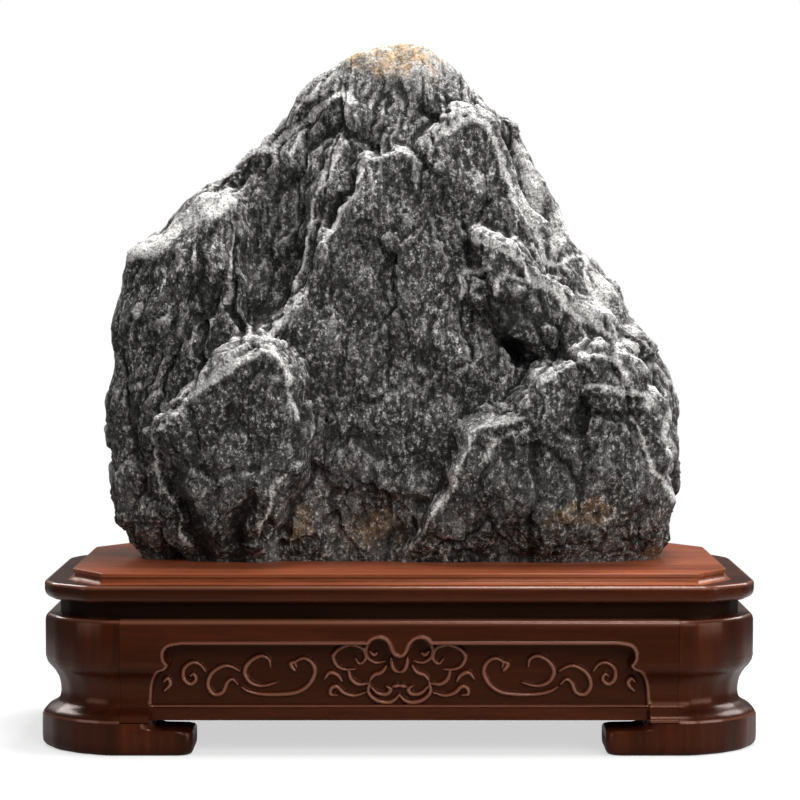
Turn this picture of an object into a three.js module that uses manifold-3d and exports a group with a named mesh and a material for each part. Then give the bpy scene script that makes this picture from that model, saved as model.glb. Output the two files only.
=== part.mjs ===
// A weathered mountain-shaped viewing stone standing on a carved four-legged hardwood stand.
// Millimetres, +Z up. X runs along the long side of the stand, the front faces -Y.
// The origin is on the ground, under the middle of the stand.

import * as THREE from "three";
import { mergeVertices } from "three/addons/utils/BufferGeometryUtils.js";
import Module from "manifold-3d";

const wasm = await Module();
wasm.setup();

// Stand: heights above the ground
const APRON_BOTTOM = 18.5;
const FRAME_TOP = 75;
const PLATE_BOTTOM = 84;
const PANEL_TOP = 100.5;

// Stand: plan. Each corner is listed for the front right, from the front edge round to the side.
const HALF_WIDTH = 200;
const HALF_DEPTH = 98;
const FRAME_CORNER = [[162, -98], [179, -89.5], [191.5, -77], [200, -60]];
const PLATE_CORNER = [[173, -97], [194, -79], [200, -63]];
const PANEL_CORNER = [[165.5, -89], [184, -62]];
const SEAM_X = 154.5;
const SEAM_Y = 55;
const SEAM_GAP = 0.15;
const POST_DEPTH = 26;
const FOOT_DEPTH = 34;
const APRON_DEPTH = 22;
const WAIST_INSET = 8.5;

// Moulded edges, as [height, inset from the plan outline]
const LEG_PROFILE = [
  [10, 4], [17.3, 4], [17.9, -1.7], [22.3, 1.2], [25.7, 7], [31, 8.6],
  [37, 7.9], [42.5, 5.2], [46.5, 1.6], [51, 0], [72.5, 0], [75, 2.4],
];
const APRON_PROFILE = [
  [18.5, -1.3], [22.3, 1.2], [25.7, 7], [31, 8.6],
  [37, 7.9], [42.5, 5.2], [46.5, 1.6], [51, 0], [72.5, 0], [75, 2.4],
];
const PLATE_PROFILE = [
  [84, 7.5], [85, 4.4], [87, 1.5], [89.5, 0], [91.5, 0], [93.4, 1], [94, 2.8],
];
const PANEL_PROFILE = [
  [94, -2.6], [95, -0.2], [97.4, 1.2], [97.9, 0], [99.8, 0], [100.5, 0.9],
];

// Foot: each level is [height, inset, inner end along the front, inner end along the side]
const FOOT_LEVELS = [
  [0, 1, 116.5, 40.5], [2.5, -1.7, 114.2, 38.6], [12, -2, 114, 38.5],
  [13.6, -2, 118, 40.5], [14, -2, 133, 44], [18, -2, 138, 47],
];
const FOOT_END_ROUND = 7;

// Carved aprons. The field is sunk below the bulge and keeps a rail along its bottom edge.
const FIELD_INSET = 10.2;
const RAIL_INSET = 8.4;
const RAIL_TOP = 26.3;
const LONG_FIELD = 138;
const SHORT_FIELD = 40;
const SHORT_CLOUD_SCALE = 0.84;
const RIDGE_HALF_WIDTH = 1.25;
const RIDGE_RISE = 2.1;
const RIDGE_ROOT = 0.5;
const CUTTER_REACH = 40;

// Side border of the field, as [distance in from its end, height], up to its top edge
const FIELD_END = [
  [0.6, 26.3], [1.6, 38], [4.5, 45], [8.5, 47], [10.5, 50],
  [8.6, 53.5], [8.2, 57.5], [10.5, 61.2], [17, 62.8],
];

// Middle of the field's top edge: two round bumps and the tip between them, left half
const FIELD_CREST = [
  [-16.5, 62.8], [-14.8, 64.2], [-11.7, 64.9], [-8.4, 64],
  [-6, 61.4], [-4.6, 57.8], [-2.8, 55.2], [0, 54.2],
];

// Ridges of the scroll ornament, left half, as [along, height]
const SCROLLS = [
  [[-107.5, 45.5], [-112, 50], [-118, 49], [-120, 42.5], [-115.2, 38.8], [-112.4, 42.4],
    [-115.4, 44]],
  [[-88.5, 45.8], [-96, 48.8], [-104, 44.5], [-105, 35.4], [-99, 33.4], [-95, 39.6], [-89.4, 38]],
  [[-71.4, 47.6], [-74, 53.4], [-81.5, 52.6], [-85.4, 45], [-80, 38.6], [-68, 39.6]],
  [[-87.5, 37], [-78, 33.2], [-62, 32.8], [-50.5, 38.5], [-46.8, 45.5], [-50, 52],
    [-56.8, 51.4], [-56.4, 46.8]],
  [[-34.4, 32.4], [-38.6, 34.4], [-35, 37], [-28, 32.8], [-18.8, 33.8]],
];

// Ridges of the cloud in the middle, left half
const CLOUD = [
  [[-24.6, 52.6], [-20, 51.6], [-19.6, 57.6], [-27, 60.6], [-35, 57.4], [-35.6, 50.4], [-26, 46.8]],
  [[-7.4, 51.4], [-13, 50.6], [-17.4, 53.6], [-18, 58.6]],
  [[-28.4, 46.4], [-25, 39.8], [-17, 39.2]],
  [[-7, 49], [-14.6, 43.2], [-17.2, 36], [-13, 29.8], [-5, 28.8], [0, 33]],
];

// Stone: size and the outline of its front view, as [height above the base, across]
const ROCK_HEIGHT = 300;
const ROCK_LEFT = [
  [0, -151], [8, -157], [24, -164.5], [44, -167.5], [68, -168.5], [92, -168], [124, -166], [143, -163],
  [165, -160], [177, -155], [184, -147], [192, -136], [206, -125.5], [214, -115], [223, -102], [237, -86],
  [246, -76], [260, -63], [270, -57.5], [278, -51], [286, -39], [292, -28], [296, -18.5],
  [299, -8], [300, 3],
];
const ROCK_RIGHT = [
  [0, 151], [9, 157], [24, 158.5], [36, 161], [60, 162.5], [72, 163], [88, 162], [103, 156.5],
  [125, 146], [140, 134], [154, 128], [167, 115], [178, 104.5], [186, 99], [210, 88.5], [236, 75.5],
  [252, 69], [257, 63], [260, 53], [268, 47], [281, 36], [292, 24], [297, 16], [300, 3],
];

// Stone: its front and back faces before the slabs are laid on, as [height above the base, depth]
const ROCK_FRONT = [
  [0, -27], [8, -32], [40, -41], [80, -45], [130, -42], [180, -36],
  [220, -29], [255, -20], [280, -10], [294, -1], [300, 7],
];
const ROCK_BACK = [
  [0, 60], [12, 64], [50, 68], [100, 66], [150, 60], [200, 50], [240, 40], [270, 30], [290, 19], [300, 7],
];
const SECTION_POWER = 3.2;
const SECTION_ASPECT = 0.34;
const FRONT_COLUMNS = 46;
const BACK_COLUMNS = 20;
const ROCK_ROWS = 34;
const ROW_CROWDING = 1.2;

// Stone: broken slabs lying on each face. Outlines are [across, height], rise is the level of the
// slab over the face, and tilt is its added rise per millimetre across and up.
const FRONT_SLABS = [
  {
    rise: 7, tilt: [0.06, 0.01], outline: [
      [-176, -6], [-176, 150], [-164, 170], [-151, 177], [-130, 188], [-109, 205], [-111, 180],
      [-113, 134], [-113, 93], [-134, 78], [-140, 58], [-133, 35], [-141, -6],
    ],
  },
  {
    rise: 0, tilt: [0, 0], outline: [
      [-108, 205], [-99, 205], [-94, 180], [-93, 150], [-90, 120], [-111, 96], [-112, 134],
      [-110, 180],
    ],
  },
  {
    rise: -7, tilt: [0, 0], outline: [
      [-99, 203], [-92, 186], [-86, 160], [-82, 136], [-90, 122], [-93, 157],
    ],
  },
  {
    rise: -14, tilt: [0, 0.1], outline: [
      [-108, 214], [-90, 227], [-66, 244], [-36, 264], [-26, 262], [-38, 238], [-51, 206],
      [-56, 160], [-80, 126], [-84, 140], [-92, 186], [-99, 206],
    ],
  },
  {
    rise: -4, tilt: [-0.08, 0.04], outline: [
      [-30, 242], [-38, 232], [-51, 207], [-56, 158], [-42, 162], [-33, 188], [-15, 222],
      [-17, 238],
    ],
  },
  {
    rise: 4, tilt: [0, 0.03], outline: [
      [-16, 226], [-33, 200], [-41, 186], [-48, 156], [-78, 126], [-63, 110], [-57, 79], [-58, 70],
      [-32, 47], [23, 41], [40, 76], [52, 83], [61, 96], [58, 122], [40, 151], [45, 183], [23, 220],
      [0, 238],
    ],
  },
  {
    rise: -2, tilt: [0, 0.05], outline: [
      [-58, 262], [-36, 290], [-10, 303], [18, 303], [44, 280], [54, 258], [26, 251], [17, 238],
      [0, 239], [-17, 240], [-30, 246], [-34, 266],
    ],
  },
  {
    rise: 21, tilt: [0, 0.13], outline: [
      [-125, 85], [-101, 105], [-80, 123], [-66, 115], [-60, 102], [-56, 79], [-62, 61], [-72, 35],
      [-78, 9], [-86, -6], [-101, -6], [-107, 12], [-120, 41], [-126, 58],
    ],
  },
  {
    rise: 10, tilt: [0.06, 0.04], outline: [
      [-126, 83], [-136, 79], [-140, 70], [-139, 55], [-132, 38], [-112, -6], [-105, -6],
      [-119, 35], [-127, 55],
    ],
  },
  {
    rise: 7, tilt: [-0.06, 0.06], outline: [
      [18, 238], [27, 252], [44, 257], [55, 250], [59, 232], [65, 212], [75, 196], [90, 182],
      [81, 158], [69, 170], [61, 181], [45, 184], [24, 220],
    ],
  },
  {
    rise: -12, tilt: [-0.16, 0], outline: [
      [55, 262], [74, 256], [88, 220], [104, 186], [108, 174], [90, 183], [75, 197], [64, 215],
      [58, 238],
    ],
  },
  {
    rise: 14, tilt: [0, 0.18], outline: [
      [41, 184], [61, 183], [69, 171], [84, 159], [101, 145], [121, 132], [139, 124], [133, 115],
      [107, 123], [78, 110], [69, 126], [61, 134], [40, 152], [55, 163],
    ],
  },
  {
    rise: -5, tilt: [-0.06, 0.04], outline: [
      [91, 182], [106, 178], [120, 170], [130, 158], [141, 128], [121, 132], [101, 145], [84, 159],
      [75, 174],
    ],
  },
  {
    rise: 20, tilt: [0, 0.12], outline: [
      [78, 108], [92, 117], [107, 121], [117, 118], [126, 108], [128, 100], [116, 98], [106, 90],
      [98, 76], [92, 47], [90, -6], [72, -6], [70, 47], [72, 87],
    ],
  },
  {
    rise: 13, tilt: [0, 0.14], outline: [
      [72, 88], [52, 81], [40, 72], [32, 55], [23, 38], [12, 15], [0, -6], [71, -6], [69, 47],
    ],
  },
  {
    rise: 17, tilt: [-0.08, 0.1], outline: [
      [107, 90], [116, 99], [139, 97], [143, 86], [139, 70], [144, 53], [147, 35], [147, -6],
      [91, -6], [93, 47], [99, 76],
    ],
  },
  {
    rise: 2, tilt: [-0.08, 0.04], outline: [
      [127, 116], [146, 113], [162, 96], [168, 76], [167, 47], [162, -6], [148, -6], [148, 35],
      [144, 55], [140, 70], [144, 86], [139, 99],
    ],
  },
  {
    rise: -4, tilt: [0, 0.02], outline: [
      [-78, 9], [-71, 35], [-61, 60], [-32, 47], [0, 38], [20, 38], [12, 15], [0, -6], [-86, -6],
    ],
  },
];
const BACK_SLABS = [
  {
    rise: 6, tilt: [0, 0.02], outline: [
      [-172, -6], [-174, 150], [-150, 178], [-118, 190], [-96, 150], [-104, 92], [-88, 40],
      [-96, -6],
    ],
  },
  {
    rise: 14, tilt: [0, 0.06], outline: [
      [-98, 148], [-70, 168], [-44, 150], [-30, 98], [-44, 44], [-36, -6], [-94, -6], [-86, 42],
      [-102, 92],
    ],
  },
  {
    rise: 0, tilt: [0, 0], outline: [
      [-116, 192], [-92, 228], [-52, 262], [-34, 250], [-48, 204], [-72, 172], [-94, 154],
    ],
  },
  {
    rise: 8, tilt: [0.03, 0.03], outline: [
      [-44, 152], [-46, 200], [-30, 246], [-8, 262], [22, 236], [30, 184], [18, 140], [-26, 102],
    ],
  },
  {
    rise: 0, tilt: [0, 0], outline: [
      [-52, 266], [-24, 300], [20, 302], [48, 274], [24, 244], [-8, 266], [-30, 252],
    ],
  },
  {
    rise: 17, tilt: [0, 0.07], outline: [
      [-26, 98], [16, 134], [52, 124], [70, 84], [62, 36], [72, -6], [-34, -6], [-40, 44],
    ],
  },
  {
    rise: 2, tilt: [-0.04, 0], outline: [
      [26, 238], [50, 268], [76, 252], [100, 190], [84, 160], [52, 150], [34, 186],
    ],
  },
  {
    rise: 12, tilt: [-0.05, 0.06], outline: [
      [56, 126], [54, 146], [86, 156], [108, 182], [136, 140], [160, 98], [132, 78], [108, 96],
      [74, 84],
    ],
  },
  {
    rise: 7, tilt: [-0.05, 0.02], outline: [
      [72, 80], [106, 92], [132, 74], [166, 92], [168, 40], [160, -6], [76, -6], [66, 36],
    ],
  },
];
const SLAB_EDGE = 4;
const EDGE_SLOPE = 0.9;
const SLAB_FALL = 3;
const GAP_DEPTH = 12;
const GAP_FALL = 0.6;

// Stone: open cracks in the front, as a line of [across, height, half width] and a depth
const CRACKS = [
  { depth: 11, line: [[-127, 68, 2.5], [-124, 50, 3], [-116, 29, 4], [-103, -4, 6]] },
  { depth: 6, line: [[-108, 206, 2], [-111, 174, 2.5], [-113, 134, 2.5], [-112, 95, 2]] },
  { depth: 5, line: [[75, 78, 2], [74, 30, 2], [76, 0, 2]] },
];

// Plan outlines

function wholeLoop(corner) {
  const mirrored = (list, sx, sy) => list.map(([x, y]) => [x * sx, y * sy]);
  const turned = [...corner].reverse();
  return [
    ...corner,
    ...mirrored(turned, 1, -1),
    ...mirrored(corner, -1, -1),
    ...mirrored(turned, -1, 1),
  ];
}

// Moves every side of a closed counter-clockwise loop inwards by the same distance.
function insetLoop(loop, inset) {
  return loop.map((point, i) => {
    const before = loop.at(i - 1);
    const after = loop[(i + 1) % loop.length];
    const normal = (a, b) => {
      const length = Math.hypot(b[0] - a[0], b[1] - a[1]);
      return [-(b[1] - a[1]) / length, (b[0] - a[0]) / length];
    };
    const first = normal(before, point);
    const second = normal(point, after);
    const spread = 1 + first[0] * second[0] + first[1] * second[1];
    return [
      point[0] + (inset * (first[0] + second[0])) / spread,
      point[1] + (inset * (first[1] + second[1])) / spread,
    ];
  });
}

// Closed surfaces

function closedGeometry(points, triangles) {
  let volume = 0;
  for (let i = 0; i < triangles.length; i += 3) {
    const [a, b, c] = [0, 1, 2].map((k) => points[triangles[i + k]]);
    volume += a.dot(new THREE.Vector3().crossVectors(b, c));
  }
  const index = volume < 0 ? [...triangles].reverse() : triangles;
  const geometry = new THREE.BufferGeometry();
  const places = points.flatMap((point) => point.toArray());
  geometry.setAttribute("position", new THREE.Float32BufferAttribute(places, 3));
  geometry.setIndex(index);
  return geometry;
}

// Joins a stack of level rings, lowest first, and closes its two ends flat.
function loft(rings) {
  const count = rings[0].length;
  const points = rings.flat();
  const triangles = [];
  for (let r = 0; r + 1 < rings.length; r++) {
    for (let i = 0; i < count; i++) {
      const a = r * count + i;
      const b = r * count + ((i + 1) % count);
      triangles.push(a, b, b + count, a, b + count, a + count);
    }
  }
  const last = (rings.length - 1) * count;
  const cap = (ring) => {
    const contour = ring.map((p) => new THREE.Vector2(p.x, p.y));
    const flat = THREE.ShapeUtils.triangulateShape(contour, []);
    return THREE.ShapeUtils.isClockWise(contour) ? flat.map(([a, b, c]) => [a, c, b]) : flat;
  };
  cap(rings[0]).forEach(([a, b, c]) => triangles.push(a, c, b));
  cap(rings.at(-1)).forEach(([a, b, c]) => triangles.push(last + a, last + b, last + c));
  return closedGeometry(points, triangles);
}

const ringAt = (loop, z) => loop.map(([x, y]) => new THREE.Vector3(x, y, z));

function mouldedBoard(loop, profile) {
  return loft(profile.map(([z, inset]) => ringAt(insetLoop(loop, inset), z)));
}

function toSolid(geometry) {
  const plain = geometry.clone();
  plain.deleteAttribute("normal");
  plain.deleteAttribute("uv");
  const merged = mergeVertices(plain, 1e-4);
  return new wasm.Manifold(new wasm.Mesh({
    numProp: 3,
    vertProperties: new Float32Array(merged.attributes.position.array),
    triVerts: new Uint32Array(merged.index.array),
  }));
}

function toGeometry(solid) {
  const mesh = solid.getMesh();
  const geometry = new THREE.BufferGeometry();
  geometry.setAttribute("position", new THREE.BufferAttribute(new Float32Array(mesh.vertProperties), 3));
  geometry.setIndex([...mesh.triVerts]);
  return geometry;
}

// Stand pieces

const frameLoop = wholeLoop(FRAME_CORNER);
const plateLoop = wholeLoop(PLATE_CORNER);
const panelLoop = wholeLoop(PANEL_CORNER);
const cornerCount = FRAME_CORNER.length;

// The front right leg; the other three are its mirror images.
function legGeometry(sideX, sideY) {
  const placed = (loop, z) => loop.map(([x, y]) => new THREE.Vector3(x * sideX, y * sideY, z));
  const postRing = ([z, inset]) => {
    const outer = insetLoop(frameLoop, inset).slice(0, cornerCount);
    const innerX = HALF_WIDTH - POST_DEPTH;
    const innerY = -HALF_DEPTH + POST_DEPTH;
    return placed([
      [SEAM_X, -HALF_DEPTH + inset], ...outer, [HALF_WIDTH - inset, -SEAM_Y],
      [innerX, -SEAM_Y], [innerX, innerY], [SEAM_X, innerY],
    ], z);
  };
  const footRing = ([z, inset, endX, endY]) => {
    const outer = insetLoop(frameLoop, inset).slice(0, cornerCount);
    const front = -HALF_DEPTH + inset;
    const side = HALF_WIDTH - inset;
    const innerX = HALF_WIDTH - FOOT_DEPTH;
    const innerY = -HALF_DEPTH + FOOT_DEPTH;
    const half = FOOT_END_ROUND * 0.3;
    return placed([
      [endX, innerY],
      [endX, front + FOOT_END_ROUND], [endX + half, front + half], [endX + FOOT_END_ROUND, front],
      ...outer,
      [side, -endY - FOOT_END_ROUND], [side - half, -endY - half], [side - FOOT_END_ROUND, -endY],
      [innerX, -endY], [innerX, innerY],
    ], z);
  };
  const post = toSolid(loft(LEG_PROFILE.map(postRing)));
  const foot = toSolid(loft(FOOT_LEVELS.map(footRing)));
  return toGeometry(post.add(foot));
}

const mirrorAlong = (points) => points.map(([x, z]) => [-x, z]).reverse();

function fieldOutline(halfLength, cloudScale) {
  const end = FIELD_END.map(([inward, z]) => [-halfLength + inward, z]);
  const crest = FIELD_CREST.map(([x, z]) => [x * cloudScale, z]);
  return [...end, ...crest, ...mirrorAlong(crest).slice(1), ...mirrorAlong(end)];
}

function scaledRidges(ridges, scale) {
  const resize = ([x, z]) => [x * scale, RAIL_TOP + (z - RAIL_TOP) * scale];
  const scaled = ridges.map((ridge) => ridge.map(resize));
  return [...scaled, ...scaled.map(mirrorAlong)];
}

// A plate-like cutter over an outline drawn in the upright plane, reaching out past the front.
function frontCutter(outline, inset) {
  const shape = new THREE.Shape(outline.map(([x, z]) => new THREE.Vector2(x, z)));
  const cutter = new THREE.ExtrudeGeometry(shape, { depth: CUTTER_REACH, bevelEnabled: false, steps: 1 });
  cutter.rotateX(Math.PI / 2);
  cutter.translate(0, inset, 0);
  return toSolid(cutter);
}

// A three-sided rib that follows a line on the sunk field.
function ridgeSolid(line) {
  const points = line.map(([x, z]) => new THREE.Vector3(x, FIELD_INSET, z));
  const path = new THREE.CatmullRomCurve3(points);
  const section = new THREE.Shape([
    new THREE.Vector2(-RIDGE_ROOT, -RIDGE_HALF_WIDTH),
    new THREE.Vector2(RIDGE_RISE, 0),
    new THREE.Vector2(-RIDGE_ROOT, RIDGE_HALF_WIDTH),
  ]);
  return toSolid(new THREE.ExtrudeGeometry(section, {
    extrudePath: path, steps: line.length - 1, bevelEnabled: false,
  }));
}

// An apron lying along X with its bulge touching the plane y = 0 and its front facing -Y.
function apronGeometry(halfLength, halfField, ridges, cloudScale) {
  const profile = [
    ...APRON_PROFILE.map(([z, inset]) => new THREE.Vector2(-inset, z)),
    new THREE.Vector2(-APRON_DEPTH, FRAME_TOP),
    new THREE.Vector2(-APRON_DEPTH, APRON_BOTTOM),
  ];
  const board = new THREE.ExtrudeGeometry(new THREE.Shape(profile), {
    depth: 2 * halfLength, bevelEnabled: false, steps: 1,
  });
  board.applyMatrix4(new THREE.Matrix4().makeBasis(
    new THREE.Vector3(0, -1, 0), new THREE.Vector3(0, 0, 1), new THREE.Vector3(-1, 0, 0),
  ));
  board.translate(halfLength, 0, 0);
  const rail = [
    [-halfField, APRON_BOTTOM - 5], [halfField, APRON_BOTTOM - 5],
    [halfField - 0.6, RAIL_TOP + 0.5], [-halfField + 0.6, RAIL_TOP + 0.5],
  ];
  const sunk = toSolid(board)
    .subtract(frontCutter(rail, RAIL_INSET))
    .subtract(frontCutter(fieldOutline(halfField, cloudScale), FIELD_INSET));
  return toGeometry(ridges.reduce((solid, line) => solid.add(ridgeSolid(line)), sunk));
}

// Stone

function fromTable(table, key) {
  let i = 0;
  while (i + 2 < table.length && key > table[i + 1][0]) {
    i++;
  }
  const [k0, v0] = table[i];
  const [k1, v1] = table[i + 1];
  const share = Math.min(1, Math.max(0, (key - k0) / (k1 - k0)));
  return v0 + (v1 - v0) * share;
}

const smooth = (low, high, value) => THREE.MathUtils.smoothstep(value, low, high);

// Distance from a point to the rim of an outline, positive inside it.
function insideDistance(outline, x, z) {
  let nearest = Infinity;
  let inside = false;
  outline.forEach(([bx, bz], i) => {
    const [ax, az] = outline.at(i - 1);
    const share = ((x - ax) * (bx - ax) + (z - az) * (bz - az)) / ((bx - ax) ** 2 + (bz - az) ** 2);
    const t = Math.min(1, Math.max(0, share));
    nearest = Math.min(nearest, Math.hypot(x - ax - t * (bx - ax), z - az - t * (bz - az)));
    if (az > z !== bz > z && x < ((bx - ax) * (z - az)) / (bz - az) + ax) {
      inside = !inside;
    }
  });
  return inside ? nearest : -nearest;
}

// Level of a slab with its chipped rim and steep sides, and of the skirt that fills its gaps.
function slabLevel({ rise, tilt, outline }, x, z) {
  const middle = [0, 1].map((k) => outline.reduce((sum, point) => sum + point[k], 0) / outline.length);
  const inside = insideDistance(outline, x, z);
  const outside = Math.min(0, inside);
  const plane = rise + tilt[0] * (x - middle[0]) + tilt[1] * (z - middle[1]);
  const chipped = plane - EDGE_SLOPE * THREE.MathUtils.clamp(SLAB_EDGE - inside, 0, SLAB_EDGE);
  return Math.max(chipped + SLAB_FALL * outside, plane - GAP_DEPTH + GAP_FALL * outside);
}

function crackDepth({ depth, line }, x, z) {
  let deepest = 0;
  for (let i = 0; i + 1 < line.length; i++) {
    const [ax, az, aw] = line[i];
    const [bx, bz, bw] = line[i + 1];
    const share = ((x - ax) * (bx - ax) + (z - az) * (bz - az)) / ((bx - ax) ** 2 + (bz - az) ** 2);
    const t = Math.min(1, Math.max(0, share));
    const away = Math.hypot(x - ax - t * (bx - ax), z - az - t * (bz - az));
    deepest = Math.max(deepest, 1 - away / (1.6 * (aw + t * (bw - aw))));
  }
  return depth * deepest;
}

// Slab edges are never straight, so the outlines are read through this gentle wander.
function wander(x, z) {
  return [
    x + 2.2 * Math.sin(0.083 * z + 0.6) + 1.3 * Math.sin(0.21 * z + 0.11 * x),
    z + 2 * Math.sin(0.09 * x + 1.1) + 1.2 * Math.sin(0.19 * x - 0.13 * z + 2),
  ];
}

function faceRelief(slabs, cracks, x, z) {
  const [wx, wz] = wander(x, z);
  const level = Math.max(...slabs.map((slab) => slabLevel(slab, wx, wz)));
  return level - Math.max(0, ...cracks.map((crack) => crackDepth(crack, wx, wz)));
}

const ripple = (x, y, z) =>
  1.1 * Math.sin(0.12 * z + 0.09 * x + 0.07 * y) + 0.9 * Math.sin(0.2 * x - 0.16 * z + 0.21 * y + 1.3);

// One half of the level section, as [across, depth] in shares of its half sizes, evenly spaced.
function sectionHalf(count, front) {
  const fine = 720;
  const trail = [];
  let length = 0;
  for (let i = 0; i <= fine; i++) {
    const angle = (Math.PI * i) / fine;
    const power = 2 / SECTION_POWER;
    const across = -Math.sign(Math.cos(angle)) * Math.abs(Math.cos(angle)) ** power;
    const depth = Math.sin(angle) ** power;
    const last = trail.at(-1);
    length += last ? Math.hypot(across - last.across, SECTION_ASPECT * (depth - last.depth)) : 0;
    trail.push({ across, depth, length });
  }
  return Array.from({ length: count }, (_, i) => {
    const { across, depth } = trail.find((step) => step.length >= (length * i) / count);
    return front ? [across, -depth] : [-across, depth];
  });
}

function rockGeometry() {
  const columns = [...sectionHalf(FRONT_COLUMNS, true), ...sectionHalf(BACK_COLUMNS, false)];
  const points = [];
  for (let row = 0; row < ROCK_ROWS; row++) {
    const z = ROCK_HEIGHT * (1 - (1 - row / ROCK_ROWS) ** ROW_CROWDING);
    const left = fromTable(ROCK_LEFT, z);
    const right = fromTable(ROCK_RIGHT, z);
    const front = fromTable(ROCK_FRONT, z);
    const back = fromTable(ROCK_BACK, z);
    const fade = (0.45 + 0.55 * smooth(0, 22, z)) * smooth(0, 26, back - front);
    for (const [across, depth] of columns) {
      const x = (left + right) / 2 + ((right - left) / 2) * across;
      const y = (front + back) / 2 + ((back - front) / 2) * depth;
      const normal = new THREE.Vector2(
        (Math.sign(across) * Math.abs(across) ** (SECTION_POWER - 1)) / (right - left),
        (Math.sign(depth) * Math.abs(depth) ** (SECTION_POWER - 1)) / (back - front),
      ).normalize();
      const facing = Math.abs(normal.y);
      const slabs = depth < 0 ? FRONT_SLABS : BACK_SLABS;
      const cracks = depth < 0 ? CRACKS : [];
      const relief = faceRelief(slabs, cracks, x, z) * smooth(0.2, 0.75, facing) + ripple(x, y, z);
      points.push(new THREE.Vector3(x + normal.x * relief * fade, y + normal.y * relief * fade, z));
    }
  }
  const count = columns.length;
  const foot = points.push(new THREE.Vector3(0, (ROCK_FRONT[0][1] + ROCK_BACK[0][1]) / 2, 0)) - 1;
  const peak = points.push(new THREE.Vector3(ROCK_LEFT.at(-1)[1], ROCK_FRONT.at(-1)[1], ROCK_HEIGHT)) - 1;
  const top = (ROCK_ROWS - 1) * count;
  const triangles = [];
  for (let i = 0; i < count; i++) {
    const next = (i + 1) % count;
    triangles.push(foot, next, i, peak, top + i, top + next);
    for (let row = 0; row + 1 < ROCK_ROWS; row++) {
      const a = row * count + i;
      const b = row * count + next;
      triangles.push(a, b, b + count, a, b + count, a + count);
    }
  }
  return closedGeometry(points, triangles);
}

// Assembly

const WOOD = { color: 0x5a2414, roughness: 0.35, metalness: 0 };
const DARK_WOOD = { color: 0x3a170d, roughness: 0.45, metalness: 0 };
const TOP_WOOD = { color: 0x7a3a22, roughness: 0.35, metalness: 0 };
const STONE = { color: 0x6a6864, roughness: 0.85, metalness: 0 };

const root = new THREE.Group();
root.name = "scholars_rock";

function addPiece(name, geometry, finish, position = [0, 0, 0], turn = 0) {
  const mesh = new THREE.Mesh(geometry, new THREE.MeshStandardMaterial({ ...finish, flatShading: true }));
  mesh.name = name;
  mesh.position.set(...position);
  mesh.rotation.z = turn;
  root.add(mesh);
}

addPiece("rock", rockGeometry(), STONE, [0, 0, PANEL_TOP]);
addPiece("top_panel", mouldedBoard(panelLoop, PANEL_PROFILE), TOP_WOOD);
addPiece("top_plate", mouldedBoard(plateLoop, PLATE_PROFILE), WOOD);
const waistLoop = insetLoop(frameLoop, WAIST_INSET);
addPiece("waist", mouldedBoard(waistLoop, [[FRAME_TOP, 0], [PLATE_BOTTOM, 0]]), DARK_WOOD);

const longRidges = scaledRidges([...SCROLLS, ...CLOUD], 1);
const shortRidges = scaledRidges(CLOUD, SHORT_CLOUD_SCALE);
const longApron = () => apronGeometry(SEAM_X - SEAM_GAP, LONG_FIELD, longRidges, 1);
const shortApron = () => apronGeometry(SEAM_Y - SEAM_GAP, SHORT_FIELD, shortRidges, SHORT_CLOUD_SCALE);
addPiece("apron_front", longApron(), WOOD, [0, -HALF_DEPTH, 0]);
addPiece("apron_back", longApron(), WOOD, [0, HALF_DEPTH, 0], Math.PI);
addPiece("apron_left", shortApron(), WOOD, [-HALF_WIDTH, 0, 0], -Math.PI / 2);
addPiece("apron_right", shortApron(), WOOD, [HALF_WIDTH, 0, 0], Math.PI / 2);

addPiece("leg_front_right", legGeometry(1, 1), WOOD);
addPiece("leg_front_left", legGeometry(-1, 1), WOOD);
addPiece("leg_back_right", legGeometry(1, -1), WOOD);
addPiece("leg_back_left", legGeometry(-1, -1), WOOD);

export default root;
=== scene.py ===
"""A weathered viewing stone on a carved hardwood stand, dressed around its solid model."""

import itertools
import math

import bmesh
import bpy
import numpy as np
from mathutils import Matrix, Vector


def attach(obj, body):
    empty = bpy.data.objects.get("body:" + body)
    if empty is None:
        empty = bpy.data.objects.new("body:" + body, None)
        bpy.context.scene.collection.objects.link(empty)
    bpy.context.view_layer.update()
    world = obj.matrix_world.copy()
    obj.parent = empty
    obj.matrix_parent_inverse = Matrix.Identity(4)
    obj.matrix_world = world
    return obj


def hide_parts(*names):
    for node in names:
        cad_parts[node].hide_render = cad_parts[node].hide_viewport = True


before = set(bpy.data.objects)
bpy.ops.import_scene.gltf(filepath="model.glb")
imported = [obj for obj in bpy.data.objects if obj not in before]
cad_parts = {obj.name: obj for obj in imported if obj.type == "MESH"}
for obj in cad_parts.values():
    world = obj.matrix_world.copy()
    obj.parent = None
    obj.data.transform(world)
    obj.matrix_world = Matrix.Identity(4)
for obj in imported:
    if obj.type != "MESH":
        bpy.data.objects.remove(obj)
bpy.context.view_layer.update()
MM = 0.001

# Camera and surround
CAMERA_PLACE = (0.00035, -1.6887, 0.2692)
CAMERA_PITCH = 2.607
CAMERA_LENS = 130.5
CAMERA_SENSOR = 36
WORLD_GLOW = 0.15
WHITE = (1, 1, 1, 1)

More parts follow.
